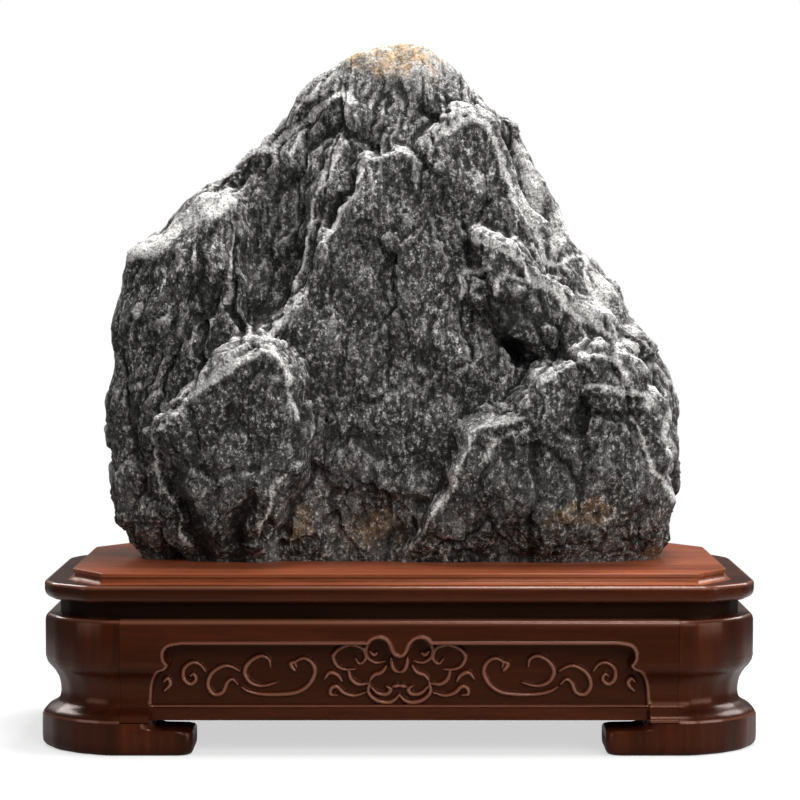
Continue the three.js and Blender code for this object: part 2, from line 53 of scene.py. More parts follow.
# Lights, as (name, place, aim, size, power) in metres and watts
LIGHTS = [
    ("overhead", (0.2, 0, 1.35), (0, 0, 0.2), (0.5, 0.36), 20),
    ("sparkle", (0.25, -1.05, 1.3), (0, 0, 0.1), (0.25, 0.2), 5),
    ("back_left", (-0.9, 1, 1.1), (0, 0, 0.25), (0.7, 0.7), 14),
    ("back_right", (1.1, 0.8, 1.1), (0, 0, 0.25), (0.7, 0.7), 13),
    ("front", (1, -2, 1.25), (0, 0, 0.2), (1.4, 0.9), 24),
    ("side_left", (-1.5, -0.7, 0.45), (0, 0, 0.15), (0.5, 0.7), 3),
    ("side_right", (1.5, -0.7, 0.45), (0, 0, 0.15), (0.5, 0.7), 7),
]

# Floor: its reach in millimetres, and where it fades out in metres
FLOOR_REACH = 6000
FLOOR_RINGS = 40
FLOOR_SPOKES = 96
FLOOR_COLOUR = (0.86, 0.86, 0.855, 1)
FLOOR_ALPHA = 0.4
FLOOR_FADE_START = 0.26
FLOOR_FADE_END = 0.7

# Stand: heights above the ground and plan, in millimetres
APRON_BOTTOM = 18.5
FRAME_TOP = 75
PLATE_BOTTOM = 84
PANEL_TOP = 100.5
HALF_WIDTH = 200
HALF_DEPTH = 98
FRAME_CORNER = [(162, -98), (179, -89.5), (191.5, -77), (200, -60)]
PLATE_CORNER = [(173, -97), (194, -79), (200, -63)]
PANEL_CORNER = [(165.5, -89), (184, -62)]
EASE_STEPS = 4
FRAME_EASE = 4.5
PLATE_EASE = 5
PANEL_EASE = 1.5
SEAM_X = 154.5
SEAM_Y = 55
SEAM_GAP = 0.15
POST_DEPTH = 26
FOOT_DEPTH = 34
APRON_DEPTH = 22
WAIST_INSET = 8.5

# Moulded edges, as (height, inset from the plan outline)
LEG_CURVE = [
    (17.9, -1.7), (19.6, -1.1), (21.2, 0.2), (22.6, 2.2), (24, 4.8), (25.7, 6.9), (28.3, 8.2), (31.4, 8.6),
    (35, 8.3), (38.6, 7.4), (42.5, 5.2), (45.2, 2.8), (47.8, 1), (51, 0),
]
LEG_TOP = [(71.5, 0), (73.4, 0.5), (74.5, 1.3), (75, 2.6)]
PLATE_PROFILE = [
    (84, 5), (84.3, 3.6), (85, 2.1), (86, 1), (87.4, 0.3), (89, 0), (92.3, 0), (93.2, 0.4), (93.8, 1.3),
    (94, 2.6),
]
PANEL_PROFILE = [
    (94, -2.6), (94.4, -1.2), (95.2, 0.1), (96.4, 0.9), (97.4, 1.2), (97.9, 0.9), (98, 0.1), (99.6, 0),
    (100.2, 0.25), (100.5, 0.9),
]

# Foot: each level is (height, inset, inner end along the front, inner end along the side)
FOOT_LEVELS = [
    (0, 1, 116.5, 40.5), (0.5, 0.1, 115.4, 39.6), (1.4, -0.9, 114.7, 39), (2.8, -1.7, 114.2, 38.6),
    (6, -2, 114, 38.5), (11.6, -2, 114, 38.5), (13, -2, 115, 39.2), (13.7, -2, 118, 40.5),
    (14, -2, 131, 43.5), (15.2, -2, 136, 45.5), (18, -1.9, 138, 47),
]
FOOT_END_ROUND = 7
FOOT_END_STEPS = 5

# Post below its moulding, as (height, inset, wear and painted highlight)
POST_ROOT = [(12, 4, 0), (17.3, 4, 0)]

# Carved aprons
FIELD_INSET = 10.2
RAIL_INSET = 8.4
RAIL_TOP = 26.3
LONG_FIELD = 138
SHORT_FIELD = 40
SHORT_CLOUD_SCALE = 0.84
RIDGE_HALF_WIDTH = 1.4
RIDGE_RISE = 2.4
CARVE_STEP = 0.45
BEAD_HALF_WIDTH = 1.1
BEAD_RISE = 0.7
RAIL_BEAD_LIFT = 0.2
RAIL_BEAD_HALF_WIDTH = 0.9
RAIL_BEAD_RISE = 1.5
# Wear and painted highlight: the apron's top-edge band, its strength, the reach along a turning edge, and the
# foot's lip
TOP_EDGE = (72.4, 73.8)
TOP_EDGE_WEAR_AND_HIGHLIGHT = 0.7
WEAR_AND_HIGHLIGHT_REACH = 0.8
FOOT_LIP_TOP = 19.5
FOOT_LIP_WEAR_AND_HIGHLIGHT = 0.5
FIELD_END = [
    (0.6, 26.3), (1.6, 38), (4.5, 45), (8.5, 47), (10.5, 50), (8.6, 53), (8.2, 56.6), (10.5, 60),
    (17, 61.4),
]
FIELD_CREST = [
    (-17.2, 61.4), (-15, 63.9), (-11.7, 64.9), (-8.4, 64), (-6, 61.4), (-4.6, 57.8), (-2.8, 55.2),
    (0, 54.2),
]

# Ridges of the scroll ornament, left half, as (along, height)
SCROLLS = [
    [(-130.5, 34.5), (-127, 38.5), (-128.5, 41.8), (-131, 39.6)],
    [(-107.5, 45.5), (-110.5, 49.5), (-115, 50.6), (-119.5, 47), (-119.5, 41.5), (-116, 38.6), (-112.8, 41),
     (-114, 44.2), (-116.2, 43)],
    [(-88.5, 45.8), (-93, 48.3), (-98, 48.5), (-104, 44.5), (-106.2, 38), (-103, 33), (-98, 34),
     (-95.4, 39.5), (-92.5, 41.3), (-89.5, 38.5)],
    [(-71.4, 48), (-72.5, 52.5), (-77, 54.3), (-83, 51), (-85.8, 45), (-82.5, 39.5), (-76, 37.6),
     (-68, 39.5)],
    [(-87.5, 37), (-84.5, 35), (-78, 33.2), (-68, 32.8), (-57, 34), (-50, 38.5), (-46.8, 45), (-48.5, 50.5),
     (-53, 53), (-57.5, 51), (-57, 47.8)],
    [(-57.2, 51.3), (-60.2, 50.1), (-59.2, 47.6), (-57.6, 46)],
    [(-41.5, 41.5), (-38.4, 45), (-34.2, 43.6), (-31.8, 40)],
    [(-34.5, 32.4), (-38.2, 33), (-37.6, 36.4), (-34.5, 37.2), (-30.8, 33.8), (-25, 32.2), (-18.6, 34)],
]

# Ridges of the cloud in the middle, left half
CLOUD = [
    [(-24.5, 53), (-22, 50), (-19, 52), (-18.6, 55), (-21, 59), (-27, 60.6), (-33, 58.5), (-36.7, 54),
     (-34.5, 48.8), (-30, 46.8), (-24.5, 46.9)],
    [(-8, 51.5), (-13, 50.6), (-17.5, 53.5), (-18.4, 58.5), (-15.5, 63), (-11, 64.8), (-7, 62.5),
     (-4.8, 58), (-3, 55.2), (0, 54.2)],
    [(-16.5, 57), (-14.2, 55), (-12, 56.2)],
    [(-4.4, 53.5), (-4.2, 49.5), (-2.6, 46.4), (0, 45.2)],
    [(-28.3, 46.5), (-27, 41.8), (-23, 38.6), (-17.5, 39)],
    [(-7, 49), (-9.8, 45.2), (-14, 43.6), (-16.4, 40.6)],
    [(-16.4, 40), (-17.2, 34.2), (-13, 29.8), (-6.5, 28.4), (-2.5, 30), (0, 32.8)],
    [(-16, 37.4), (-12, 33.6), (-7, 33), (-4.8, 35.6), (-7.2, 37.4)],
    [(-3.8, 37.2), (0, 37.8)],
]

# Wood finishes, as (dark, middle, light, worn edge with painted highlight, gloss), and the stretch of the
# grain
RED_WOOD = (
    (0.018, 0.0038, 0.0015), (0.038, 0.0074, 0.0026), (0.064, 0.0135, 0.005), (0.2, 0.075, 0.043), 0.26,
)
# Top panel's wood painted lighter and more orange than the rest: painted light from above
TOP_WOOD_PAINTED_LIGHTER = ((0.165, 0.04, 0.016), (0.245, 0.062, 0.025), (0.33, 0.094, 0.041), (0.33, 0.094, 0.041), 0.26)
# Waist's wood painted near black: painted shade under the plate's overhang
WAIST_WOOD_PAINTED_SHADE = (
    (0.006, 0.0025, 0.0016), (0.011, 0.0042, 0.0026), (0.02, 0.007, 0.004), (0.02, 0.007, 0.004), 0.06,
)
GLOSS_TINT = (1, 0.48, 0.3, 1)
ALONG_X = (0.07, 1, 1)
ALONG_Y = (1, 0.07, 1)
ALONG_Z = (1, 1, 0.07)

# Stone: outline of its front view and its two faces, as (height above the base, place)
ROCK_HEIGHT = 300
ROCK_LEFT = [
    (0, -151), (8, -157), (24, -164.5), (44, -167.5), (68, -168.5), (92, -168), (124, -166), (143, -163),
    (165, -160), (177, -155), (184, -147), (192, -136), (206, -125.5), (214, -115), (223, -102), (237, -86),
    (246, -76), (260, -63), (270, -57.5), (278, -51), (286, -39), (292, -28), (296, -18.5), (299, -8),
    (300, 3),
]
ROCK_RIGHT = [
    (0, 151), (9, 157), (24, 158.5), (36, 161), (60, 162.5), (72, 163), (88, 162), (103, 156.5), (125, 146),
    (140, 134), (154, 128), (167, 115), (178, 104.5), (186, 99), (210, 88.5), (236, 75.5), (252, 69),
    (257, 63), (260, 53), (268, 47), (281, 36), (292, 24), (297, 16), (300, 3),
]
ROCK_FRONT = [
    (0, -27), (8, -32), (40, -41), (80, -45), (130, -42), (180, -36), (220, -29), (255, -20), (280, -10),
    (294, -1), (300, 7),
]
ROCK_BACK = [
    (0, 60), (12, 64), (50, 68), (100, 66), (150, 60), (200, 50), (240, 40), (270, 30), (290, 19), (300, 7),
]
SECTION_POWER = 3.2
SECTION_ASPECT = 0.34
FRONT_COLUMNS = 300
BACK_COLUMNS = 130
ROCK_ROWS = 224
ROW_CROWDING = 1.2
STONE_VOXEL = 1.4
STONE_TRIANGLES = 190000
STONE_SUNK = 3

# Stone: broken slabs, as (rise, tilt across, tilt up, outline of (across, height))
FRONT_SLABS = [
    (7, 0.06, 0.01, [(-176, -6), (-176, 150), (-164, 170), (-151, 177), (-130, 188), (-109, 205),
     (-111, 180), (-113, 134), (-113, 93), (-134, 78), (-140, 58), (-133, 35), (-141, -6)]),
    (0, 0, 0, [(-108, 205), (-99, 205), (-94, 180), (-93, 150), (-90, 120), (-111, 96), (-112, 134),
     (-110, 180)]),
    (-7, 0, 0, [(-99, 203), (-92, 186), (-86, 160), (-82, 136), (-90, 122), (-93, 157)]),
    (-14, 0, 0.17, [(-108, 214), (-90, 227), (-66, 244), (-36, 264), (-26, 262), (-38, 238), (-51, 206),
     (-56, 160), (-80, 126), (-84, 140), (-92, 186), (-99, 206)]),
    (-4, -0.08, 0.04, [(-30, 242), (-38, 232), (-51, 207), (-56, 158), (-42, 162), (-33, 188), (-15, 222),
     (-17, 238)]),
    (4, 0, 0.03, [(-16, 226), (-33, 200), (-41, 186), (-48, 156), (-78, 126), (-63, 110), (-57, 79),
     (-58, 70), (-32, 47), (23, 41), (40, 76), (52, 83), (61, 96), (58, 122), (40, 151), (45, 183),
     (23, 220), (0, 238)]),
    (-2, 0, 0.05, [(-58, 262), (-36, 290), (-10, 303), (18, 303), (44, 280), (54, 258), (26, 251),
     (17, 238), (0, 239), (-17, 240), (-30, 246), (-34, 266)]),
    (21, 0, 0.13, [(-125, 85), (-101, 105), (-80, 123), (-66, 115), (-60, 102), (-56, 79), (-62, 61),
     (-72, 35), (-78, 9), (-86, -6), (-101, -6), (-107, 12), (-120, 41), (-126, 58)]),
    (10, 0.06, 0.04, [(-126, 83), (-136, 79), (-140, 70), (-139, 55), (-132, 38), (-112, -6), (-105, -6),
     (-119, 35), (-127, 55)]),
    (7, -0.06, 0.06, [(18, 238), (27, 252), (44, 257), (55, 250), (59, 232), (65, 212), (75, 196),
     (90, 182), (81, 158), (69, 170), (61, 181), (45, 184), (24, 220)]),
    (-12, -0.16, 0, [(55, 262), (74, 256), (88, 220), (104, 186), (108, 174), (90, 183), (75, 197),
     (64, 215), (58, 238)]),
    (14, 0, 0.18, [(41, 184), (61, 183), (69, 171), (84, 159), (101, 145), (121, 132), (139, 124),
     (133, 118), (107, 125), (86, 127), (71, 129), (61, 132), (40, 152), (55, 163)]),
    (-5, -0.06, 0.04, [(91, 182), (106, 178), (120, 170), (130, 158), (141, 128), (121, 132), (101, 145),
     (84, 159), (75, 174)]),
    (20, 0, 0.12, [(78, 108), (92, 117), (107, 121), (117, 118), (126, 108), (128, 100), (116, 98),
     (106, 90), (98, 76), (92, 47), (90, -6), (72, -6), (70, 47), (72, 87)]),
    (13, 0, 0.14, [(72, 88), (52, 81), (40, 72), (32, 55), (23, 38), (12, 15), (0, -6), (71, -6),
     (69, 47)]),
    (17, -0.08, 0.1, [(107, 90), (116, 99), (139, 97), (143, 86), (139, 70), (144, 53), (147, 35),
     (147, -6), (91, -6), (93, 47), (99, 76)]),
    (2, -0.08, 0.04, [(127, 116), (146, 113), (162, 96), (168, 76), (167, 47), (162, -6), (148, -6),
     (148, 35), (144, 55), (140, 70), (144, 86), (139, 99)]),
    (-4, 0, 0.02, [(-78, 9), (-71, 35), (-61, 60), (-32, 47), (0, 38), (20, 38), (12, 15), (0, -6),
     (-86, -6)]),
]
BACK_SLABS = [
    (6, 0, 0.02, [(-172, -6), (-174, 150), (-150, 178), (-118, 190), (-96, 150), (-104, 92), (-88, 40),
     (-96, -6)]),
    (14, 0, 0.06, [(-98, 148), (-70, 168), (-44, 150), (-30, 98), (-44, 44), (-36, -6), (-94, -6),
     (-86, 42), (-102, 92)]),
    (0, 0, 0, [(-116, 192), (-92, 228), (-52, 262), (-34, 250), (-48, 204), (-72, 172), (-94, 154)]),
    (8, 0.03, 0.03, [(-44, 152), (-46, 200), (-30, 246), (-8, 262), (22, 236), (30, 184), (18, 140),
     (-26, 102)]),
    (0, 0, 0, [(-52, 266), (-24, 300), (20, 302), (48, 274), (24, 244), (-8, 266), (-30, 252)]),
    (17, 0, 0.07, [(-26, 98), (16, 134), (52, 124), (70, 84), (62, 36), (72, -6), (-34, -6), (-40, 44)]),
    (2, -0.04, 0, [(26, 238), (50, 268), (76, 252), (100, 190), (84, 160), (52, 150), (34, 186)]),
    (12, -0.05, 0.06, [(56, 126), (54, 146), (86, 156), (108, 182), (136, 140), (160, 98), (132, 78),
     (108, 96), (74, 84)]),
    (7, -0.05, 0.02, [(72, 80), (106, 92), (132, 74), (166, 92), (168, 40), (160, -6), (76, -6), (66, 36)]),
]
SLAB_RELIEF = 1.25
SLAB_GROW = 2.5
SLAB_EDGE = 2.4
EDGE_SLOPE = 0.8
SLAB_FALL = 3.4
GAP_FLOOR = -19

# Stone: open cracks in the front, as (depth, line of (across, height, half width))
CRACKS = [
    (12, [(-126, 76, 2), (-128, 59, 2.4), (-124, 44, 3), (-118, 31, 4), (-109, 13, 5), (-104, -4, 6)]),
    (9, [(-107, 204, 1.6), (-109, 182, 2.2), (-112, 165, 2.4), (-113, 146, 2.4), (-112, 96, 2)]),
    (8, [(-99, 204, 1.6), (-98, 191, 2), (-95, 172, 2.2), (-95, 146, 2.2), (-90, 121, 1.6)]),
    (7, [(-96, 197, 1.4), (-90, 178, 1.8), (-84, 158, 2), (-81, 138, 1.6)]),
    (9, [(-60, 106, 1.6), (-54, 83, 4.5), (-60, 64, 2.4)]),
    (4, [(-121, 57, 1.6), (-103, 51, 2.4), (-79, 56, 1.6)]),
    (8, [(-84, 40, 2), (-88, 22, 4.5), (-90, -4, 6)]),
    (7, [(75, 80, 1.6), (74, 40, 2), (76, 0, 2)]),
    (6, [(101, 94, 1.4), (102, 57, 1.8), (101, 44, 1.2)]),
    (5, [(124, 80, 1.4), (124, 38, 1.6)]),
    (5, [(106, 84, 1.4), (124, 83, 2), (134, 86, 1.4)]),
    (3, [(-138, 168, 1.4), (-143, 120, 1.8), (-141, 84, 1.2)]),
    (3, [(-126, 176, 1.2), (-128, 130, 1.8), (-130, 100, 1.2)]),
    (3, [(-2, 200, 1.2), (-8, 150, 1.8), (-6, 110, 1.4)]),
    (4, [(52, 232, 1.2), (44, 205, 1.8), (43, 186, 1.4)]),
    (3, [(46, 70, 1.2), (42, 40, 1.6), (44, 8, 1.2)]),
]

# Stone: lines painted almost white, partly pale weathered edges and partly painted highlight along lit
# ridges, as (half width, line)
PALE_LINES = [
    (3.4, [(-109, 215), (-91, 228), (-68, 245), (-55, 254), (-44, 262), (-35, 267), (-29, 262)]),
    (2, [(-62, 235), (-53, 249)]),
    (9, [(-155, 176), (-141, 181), (-131, 190), (-117, 198), (-102, 206)]),
    (7, [(-150, 184), (-136, 190), (-124, 200), (-112, 208)]),
    (2, [(-99, 205), (-97, 186), (-95, 150)]),
    (2.6, [(-26, 240), (-37, 227), (-46, 212), (-52, 205), (-53, 190), (-56, 178), (-57, 158)]),
    (2.4, [(-18, 224), (-32, 210), (-40, 196), (-42, 184)]),
    (2.4, [(-50, 156), (-64, 147), (-77, 129)]),
    (3.8, [(-125, 87), (-111, 97), (-96, 109), (-80, 124)]),
    (1.9, [(-80, 123), (-71, 119), (-63, 112), (-60, 102), (-57, 84)]),
    (3.4, [(26, 245), (33, 251), (45, 255), (54, 250), (58, 242), (60, 230), (65, 212), (73, 194),
     (81, 182), (90, 173)]),
    (2.6, [(92, 172), (108, 172), (113, 155), (120, 135)]),
    (4.2, [(41, 183), (55, 183), (64, 179), (72, 169), (81, 161), (94, 150), (107, 138), (124, 127),
     (135, 123)]),
    (2.4, [(33, 152), (41, 164), (56, 170)]),
    (2, [(55, 153), (59, 163), (74, 165)]),
    (3.4, [(81, 107), (95, 115), (106, 120), (115, 120), (122, 114), (126, 104)]),
    (3, [(106, 99), (112, 101), (122, 101), (140, 99), (144, 92)]),
    (2.3, [(72, 87), (55, 83), (47, 79), (40, 69), (33, 61), (29, 47)]),
    (1.4, [(29, 47), (22, 36), (13, 20)]),
    (1.7, [(74, 80), (58, 75), (52, 68), (45, 59)]),
    (2.4, [(134, 84), (137, 70), (144, 56), (150, 48), (158, 38)]),
    (1.5, [(-68, 58), (-73, 48), (-75, 34), (-78, 13)]),
    (1.6, [(-126, 83), (-136, 79), (-140, 71), (-139, 57), (-132, 43), (-127, 31), (-114, 9)]),
]

# Stone: pale faces, partly weathering and partly painted light; faces darkened with painted shade;
# rust-stained patches, as (across, height, half width, half height)
PALE_PATCHES = [
    (76, 220, 8, 34), (92, 190, 8, 14), (155, 72, 5, 28), (118, 150, 8, 16), (-145, 184, 12, 7),
    (-123, 197, 14, 8),
]
SHADED_PATCHES = [
    (-72, 196, 34, 52), (-20, 160, 30, 60), (88, 118, 18, 8), (70, 106, 6, 12), (-100, 30, 14, 30),
]
RUST_PATCHES = [(104, 28, 19, 8), (-16, 18, 20, 13), (146, 5, 8, 5), (-56, 24, 12, 10)]
GLOW_PATCH = (1, 299, 36, 24)

# Stone: weathering, sizes and depths in millimetres
CRINKLE = 1.7
WARP_REACH = 4
COLUMN_SIZE = (22, 32, 64)
BLOCK_SIZE = (8, 11, 26)
CHIP_SIZE = (4.2, 5, 9)
COLUMN_RISE = 1.2
BLOCK_RISE = 0.7
CHIP_RISE = 0.3
GRAIN_RISE = 0.15
FISSURE_DEPTH = 2.2
CHINK_DEPTH = 0.7
RIM_PROBE = 0.5
RIM_REACH = 6
HASH_PRIMES = (73856093, 19349663, 83492791)
HASH_SIZE = 4096
HASH_SHIFT = 13

# Stone finish: ramps as (position, tone) and colours
CRYSTAL_TONES = [
    (0.38, (0.008, 0.0075, 0.007)), (0.47, (0.032, 0.031, 0.029)), (0.54, (0.1, 0.098, 0.094)),
    (0.62, (0.47, 0.465, 0.45)),
]
PATCH_TONES = [(0.32, 0.52), (0.5, 0.88), (0.68, 1.38)]
GRIT_TONES = [(0.38, 0.3), (0.5, 1.0), (0.64, 1.7)]
# Pale tones for weathering and painted highlight
FROST_AND_HIGHLIGHT_TONES = [(0.35, (0.2, 0.195, 0.185)), (0.5, (0.6, 0.59, 0.575)), (0.66, (0.85, 0.845, 0.83))]
RUST_COLOUR = (0.7, 0.5, 0.28)
RUST_TINT = (1.0, 0.8, 0.57)
# Near black of the painted shade in hollows and cracks
PAINTED_SHADE_COLOUR = (0.006, 0.0055, 0.005)

# Largest angle between faces that are shaded as one surface, in degrees
STONE_SMOOTH = 26
MOULDING_SMOOTH = 38
CARVING_SMOOTH = 50


# Plan outlines and lofted boards


def whole_loop(corner):
    turned = corner[::-1]
    return (
        [(x, y) for x, y in corner]
        + [(x, -y) for x, y in turned]
        + [(-x, -y) for x, y in corner]
        + [(-x, y) for x, y in turned]
    )


def eased_loop(loop, ease, steps):
    """A closed loop with each vertex replaced by a short curve."""
    eased = []
    for i, (x, y) in enumerate(loop):
        here = Vector((x, y))
        ends = []
        for other in (loop[i - 1], loop[(i + 1) % len(loop)]):
            away = Vector(other) - here
            ends.append(here + away.normalized() * min(ease, away.length * 0.45))
        for k in range(steps + 1):
            t = k / steps
            eased.append(ends[0] * (1 - t) ** 2 + here * 2 * t * (1 - t) + ends[1] * t * t)
    return [(p.x, p.y) for p in eased]


def inset_loop(loop, inset):
    """Moves every side of a counter-clockwise loop inwards by the same distance."""
    moved = []
    for i, point in enumerate(loop):
        here = Vector(point)
        first = (here - Vector(loop[i - 1])).normalized()
        second = (Vector(loop[(i + 1) % len(loop)]) - here).normalized()
        normals = Vector((-first.y, first.x)) + Vector((-second.y, second.x))
        moved.append(here + normals * inset / (1 + first.dot(second)))
    return [(p.x, p.y) for p in moved]


def mesh_object(name, points, faces):
    mesh = bpy.data.meshes.new(name)
    mesh.from_pydata([tuple(c * MM for c in p) for p in points], [], faces)
    mesh.validate()
    mesh.update()
    piece = bpy.data.objects.new(name, mesh)
    bpy.context.scene.collection.objects.link(piece)
    return piece


def loft(rings):
    """Points and faces of a stack of rings with flat ends."""
    count = len(rings[0])
    points = [p for ring in rings for p in ring]
    faces = []
    for r in range(len(rings) - 1):
        for i in range(count):
            a = r * count + i
            b = r * count + (i + 1) % count
            faces.append((a, b, b + count, a + count))
    last = (len(rings) - 1) * count
    faces.append(tuple(range(count))[::-1])
    faces.append(tuple(last + i for i in range(count)))
    return points, faces


def outward(piece):
    """Turns every face of a closed mesh outwards."""
    mesh = bmesh.new()
    mesh.from_mesh(piece.data)
    bmesh.ops.recalc_face_normals(mesh, faces=mesh.faces)
    mesh.to_mesh(piece.data)
    mesh.free()


def smooth_by_angle(piece, degrees):
    piece.data.shade_smooth()
    piece.data.set_sharp_from_angle(angle=math.radians(degrees))


def dress(piece, node, material):
    piece.data.materials.append(material)
    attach(piece, "root")
    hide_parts(node)


# Shader building


def fill(node, values):
    for key, value in values.items():
        node.inputs[key].default_value = value


class Nodes:
    """A material's node tree with short calls for the nodes used here."""

    def __init__(self, name):
        self.material = bpy.data.materials.new(name)
        self.material.use_nodes = True
        self.tree = self.material.node_tree
        self.shader = self.tree.nodes["Principled BSDF"]

    def node(self, kind, **settings):
        made = self.tree.nodes.new("ShaderNode" + kind)
        for key, value in settings.items():
            setattr(made, key, value)
        return made

    def link(self, source, target):
        self.tree.links.new(source, target)

    def place(self, scale):
        """Object coordinates in millimetres, stretched by scale."""
        coordinates = self.node("TexCoord")
        mapping = self.node("Mapping")
        mapping.inputs["Scale"].default_value = [1000 * s for s in scale]
        self.link(coordinates.outputs["Object"], mapping.inputs["Vector"])
        return mapping.outputs["Vector"]

    def noise(self, place, scale, detail=4, roughness=0.6, distortion=0):
        made = self.node("TexNoise")
        fill(made, {"Scale": scale, "Detail": detail, "Roughness": roughness, "Distortion": distortion})
        self.link(place, made.inputs["Vector"])
        return made.outputs["Fac"]

    def ramp(self, value, stops):
        made = self.node("ValToRGB")
        elements = made.color_ramp.elements
        while len(elements) < len(stops):
            elements.new(0.5)
        for element, (position, colour) in zip(elements, stops):
            element.position = position
            element.color = (*colour, 1) if isinstance(colour, tuple) else (colour, colour, colour, 1)
        self.link(value, made.inputs["Fac"])
        return made.outputs["Color"]

    def mix(self, factor, first, second, mode="MIX"):
        made = self.node("Mix", data_type="RGBA", blend_type=mode)
        for value, index in ((factor, 0), (first, 6), (second, 7)):
            if hasattr(value, "is_linked"):
                self.link(value, made.inputs[index])
            elif index == 0:
                made.inputs[0].default_value = value
            else:
                made.inputs[index].default_value = (*value, 1)
        return made.outputs[2]

    def math(self, operation, first, second=None):
        made = self.node("Math", operation=operation, use_clamp=operation != "SUBTRACT")
        for value, index in ((first, 0), (second, 1)):
            if value is None:
                continue
            if hasattr(value, "is_linked"):
                self.link(value, made.inputs[index])
            else:
                made.inputs[index].default_value = value
        return made.outputs[0]

    def bump(self, height, distance, strength):
        made = self.node("Bump")
        fill(made, {"Distance": distance * MM, "Strength": strength})
        self.link(height, made.inputs["Height"])
        self.link(made.outputs["Normal"], self.shader.inputs["Normal"])


def wood_material(name, dark, middle, light, worn_and_highlit_colour, gloss, grain):
    """Lacquered hardwood whose grain runs along one axis: grain holds the three stretches."""
    n = Nodes(name)
    along = n.place(grain)
    broad = n.noise(along, 0.035, 4, 0.55, 0.6)
    fine = n.noise(along, 0.32, 5, 0.65, 0.3)
    pores = n.noise(along, 1.3, 2, 0.5)
    colour = n.ramp(broad, [(0.3, dark), (0.5, middle), (0.72, light)])
    streaks = n.ramp(fine, [(0.36, 0.6), (0.55, 1.0), (0.75, 1.15)])
    colour = n.mix(0.8, colour, streaks, "MULTIPLY")
    specks = n.ramp(pores, [(0.3, 0.5), (0.42, 1.0)])
    colour = n.mix(0.5, colour, specks, "MULTIPLY")
    carving = n.node("Attribute", attribute_name="carving")
    parts = n.node("SeparateColor")
    n.link(carving.outputs["Color"], parts.inputs["Color"])
    wear_and_highlight, recess_shade = (parts.outputs[k] for k in ("Red", "Green"))
    # Recessed carved ground darkened: painted shade
    colour = n.mix(n.math("MULTIPLY", recess_shade, 0.5), colour, dark)
    # Worn edges and ridge crowns lightened: wear and painted highlight
    colour = n.mix(n.math("MULTIPLY", wear_and_highlight, 0.8), colour, worn_and_highlit_colour)
    n.link(colour, n.shader.inputs["Base Color"])
    n.link(n.ramp(fine, [(0.3, 0.33), (0.7, 0.25)]), n.shader.inputs["Roughness"])
    n.link(n.ramp(wear_and_highlight, [(0, 0.03), (1, 0.6)]), n.shader.inputs["Coat Weight"])
    fill(n.shader, {"Specular IOR Level": gloss, "Specular Tint": GLOSS_TINT, "Coat Roughness": 0.18})
    n.bump(pores, 0.2, 0.08)
    return n.material


def stone_material():
    n = Nodes("weathered_stone")
    place = n.place((1, 1, 1))
    marks = n.node("Attribute", attribute_name="marks")
    parts = n.node("SeparateColor")
    n.link(marks.outputs["Color"], parts.inputs["Color"])
    # marks: red is pale weathering with painted highlight, green is painted shade, blue is rust
    pale_and_highlight_mask, painted_shade_mask, rust_mask = (parts.outputs[k] for k in ("Red", "Green", "Blue"))

    upright = n.place((1, 1, 0.75))
    patches = n.noise(place, 0.03, 3, 0.6)
    crystals = n.noise(upright, 0.35, 5, 0.76)
    grit = n.noise(place, 0.85, 3, 0.6)
    colour = n.ramp(crystals, CRYSTAL_TONES)
    shade = n.ramp(patches, PATCH_TONES)
    colour = n.mix(1.0, colour, shade, "MULTIPLY")
    pepper = n.ramp(grit, GRIT_TONES)
    colour = n.mix(0.9, colour, pepper, "MULTIPLY")

    broken = n.ramp(n.noise(place, 0.22, 5, 0.75), [(0.36, 0.0), (0.54, 1.0)])
    # Pale weathering and painted highlight
    frost_and_highlight = n.math("MULTIPLY", pale_and_highlight_mask, broken)
    solid = n.math("POWER", pale_and_highlight_mask, 3.5)
    frost_and_highlight = n.math("ADD", frost_and_highlight, n.math("MULTIPLY", solid, 0.85))
    pale = n.ramp(grit, FROST_AND_HIGHLIGHT_TONES)
    colour = n.mix(frost_and_highlight, colour, pale)

    stain = n.ramp(n.noise(place, 0.12, 4, 0.65), [(0.38, 0.15), (0.6, 1.0)])
    rust = n.math("MULTIPLY", rust_mask, stain)
    rusty = n.mix(1.0, n.mix(0.3, colour, RUST_COLOUR), RUST_TINT, "MULTIPLY")
    colour = n.mix(rust, colour, rusty)

    # Painted shade: hollows, cracks and shaded faces darkened towards near black
    shade_amount = n.math("MULTIPLY", painted_shade_mask, 0.8)
    colour = n.mix(shade_amount, colour, PAINTED_SHADE_COLOUR)
    n.link(colour, n.shader.inputs["Base Color"])
    fill(n.shader, {"Roughness": 0.82, "Specular IOR Level": 0.3})
    grain = n.math("ADD", n.math("MULTIPLY", crystals, 0.6), n.math("MULTIPLY", grit, 0.4))
    n.bump(grain, 1.6, 0.7)
    return n.material


# Stone


def table_at(table, keys):
    return np.interp(keys, [k for k, _ in table], [v for _, v in table])


def smoothstep(low, high, value):
    t = np.clip((value - low) / (high - low), 0, 1)
    return t * t * (3 - 2 * t)


def segment_distance(x, z, a, b):
    """Distance to a segment and the share along it of the nearest point."""
    dx, dz = b[0] - a[0], b[1] - a[1]
    t = np.clip(((x - a[0]) * dx + (z - a[1]) * dz) / (dx * dx + dz * dz), 0, 1)
    return np.hypot(x - a[0] - t * dx, z - a[1] - t * dz), t


